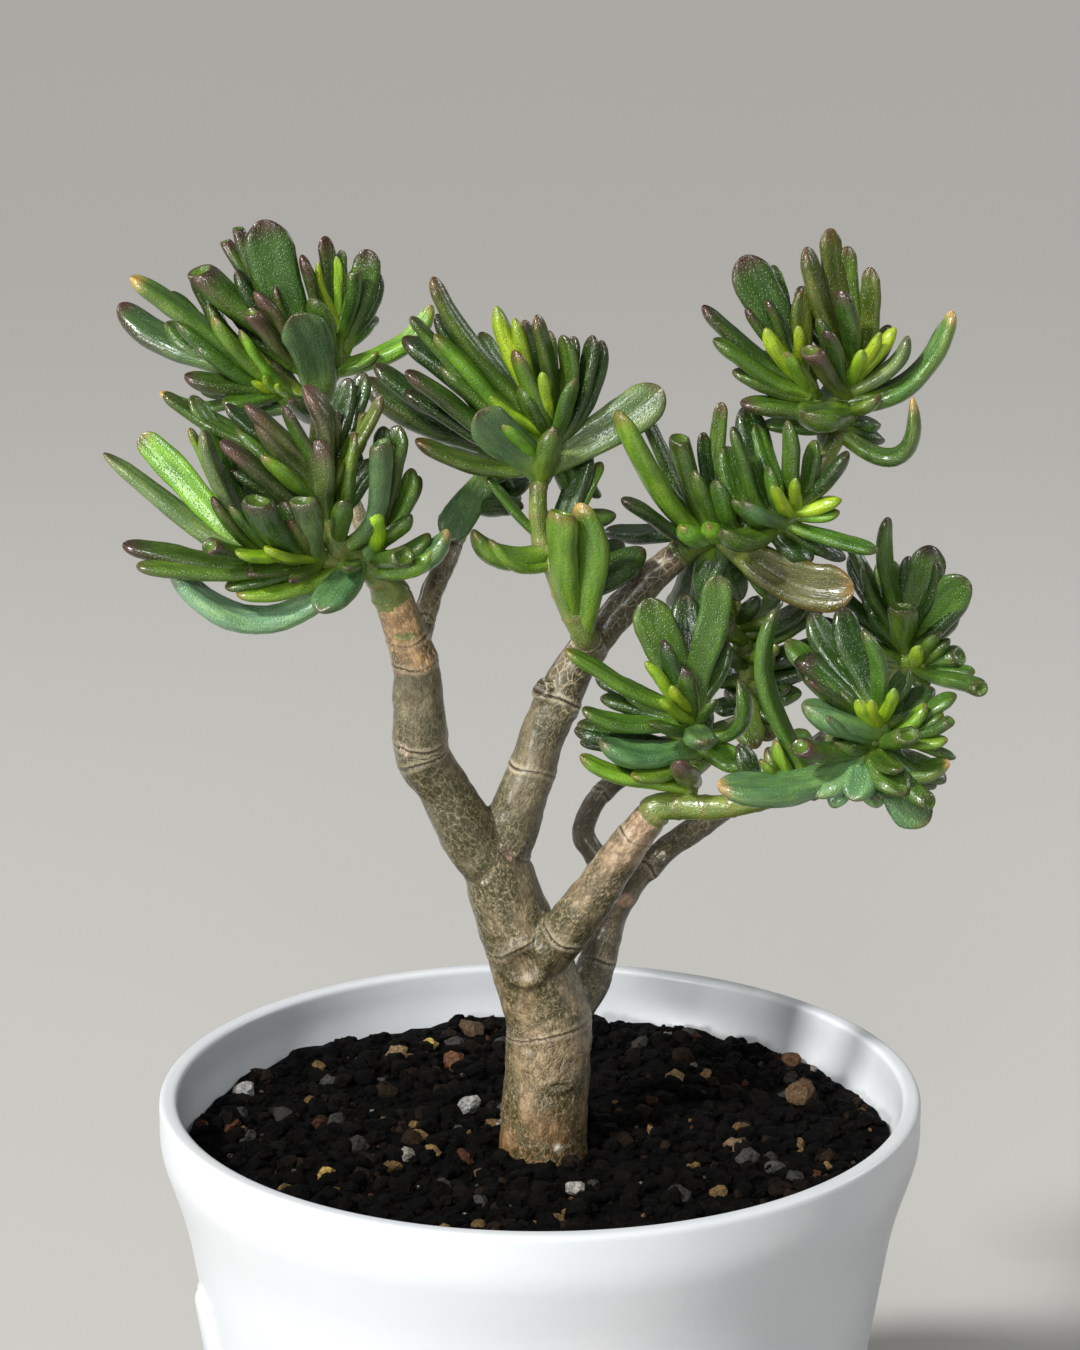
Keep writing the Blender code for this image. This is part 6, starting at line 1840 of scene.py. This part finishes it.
def soil_paint():
    """Damp potting mix, darkened in fine grit and lightened in broader clods."""
    paint = Paint("soil_crumbly")
    grit = paint.noise(paint.place("soil grit"), 5.0, 0.7)
    clods = paint.noise(paint.place("soil clods"))
    colour = paint.mix(paint.ramp(grit, 0.35, 0.65), paint.tint(), HUES["soil dark"], "MULTIPLY")
    colour = paint.mix(paint.ramp(clods, 0.50, 0.75, 0.0, 0.8), colour, HUES["soil pale"], "MULTIPLY")
    paint.bump(grit, SOIL_GRAIN)
    return paint.surface(
        Base_Color=colour, Roughness=paint.ramp(clods, 0.3, 0.7, 0.60, 0.98), Specular_IOR_Level=0.08
    )


def ceramic_paint():
    """White satin glaze, faintly blue, with the slow waver of a fired surface."""
    paint = Paint("ceramic_white")
    waver = paint.noise(paint.object_place("glaze waver"))
    peel = paint.noise(paint.object_place("glaze peel"))
    pits = paint.ramp(paint.cells(paint.object_place("glaze pits")), 0.0, 0.05, 1.0, 0.0)
    colour = paint.mix(paint.ramp(waver, 0.35, 0.70), HUES["glaze"], HUES["glaze warm"])
    colour = paint.mix(paint.times(pits, 0.35), colour, HUES["glaze pit"])
    paint.bump(paint.sum(peel, paint.times(pits, -0.5)), GLAZE_GRAIN)
    return paint.surface(Base_Color=colour, Roughness=paint.ramp(peel, 0.30, 0.70, 0.30, 0.42))


def floor_paint():
    """A plain pale matt floor."""
    return Paint("studio_floor").surface(Base_Color=(*FLOOR_TONE, 1.0), Roughness=FLOOR_ROUGHNESS)


def placed(name, data, place=(0.0, 0.0, 0.0), turn=(0.0, 0.0, 0.0)):
    """A new object in the scene."""
    made = bpy.data.objects.new(name, data)
    made.location = place
    made.rotation_euler = turn
    bpy.context.scene.collection.objects.link(made)
    return made


def build_floor():
    """A pale floor under the pot."""
    mesh = bpy.data.meshes.new("studio_floor")
    corners = ((-1, -1), (1, -1), (1, 1), (-1, 1))
    mesh.from_pydata([(x * FLOOR_REACH, y * FLOOR_REACH, 0) for x, y in corners], [], [(0, 1, 2, 3)])
    mesh.materials.append(floor_paint())
    placed("studio_floor", mesh)


def build_light():
    """A dim pale sky, and soft light from the front left and above."""
    world = bpy.data.worlds.new("studio")
    world.use_nodes = True
    world.node_tree.nodes["Background"].inputs["Color"].default_value = (*SKY_COLOUR, 1.0)
    world.node_tree.nodes["Background"].inputs["Strength"].default_value = SKY_STRENGTH
    bpy.context.scene.world = world
    bpy.context.scene.view_settings.view_transform = "Standard"
    for name, kind, place, size, power, colour in LAMPS:
        lamp = bpy.data.lights.new(name, kind)
        if kind == "SUN":
            lamp.angle = size
        else:
            lamp.shape = "DISK"
            lamp.size = size
        lamp.energy = power
        lamp.color = colour
        placed(name, lamp, place, (LAMP_AIM - Vector(place)).to_track_quat("-Z", "Y").to_euler())


def build_camera():
    """The photograph's camera."""
    camera = bpy.data.cameras.new("photo_camera")
    camera.sensor_width = SENSOR
    camera.lens = SENSOR * FOCAL_PIXELS / PHOTO_HEIGHT
    camera.clip_start = NEAREST_SEEN
    bpy.context.scene.camera = placed("photo_camera", camera, EYE, (math.pi / 2 - EYE_TILT, 0.0, 0.0))


def build():
    """The whole plant in its pot, then the studio."""
    leaf, bark = leaf_paint(), bark_paint()
    lines = wood_lines(STEPS_TO_A_SPAN)
    build_pot(ceramic_paint())
    build_soil(soil_paint(), lines["main"][0][0])
    build_wood(bark)
    for name, leaves in plan_heads(lines).items():
        build_head(name, lines, leaves, leaf)
    build_floor()
    build_light()
    build_camera()


build()
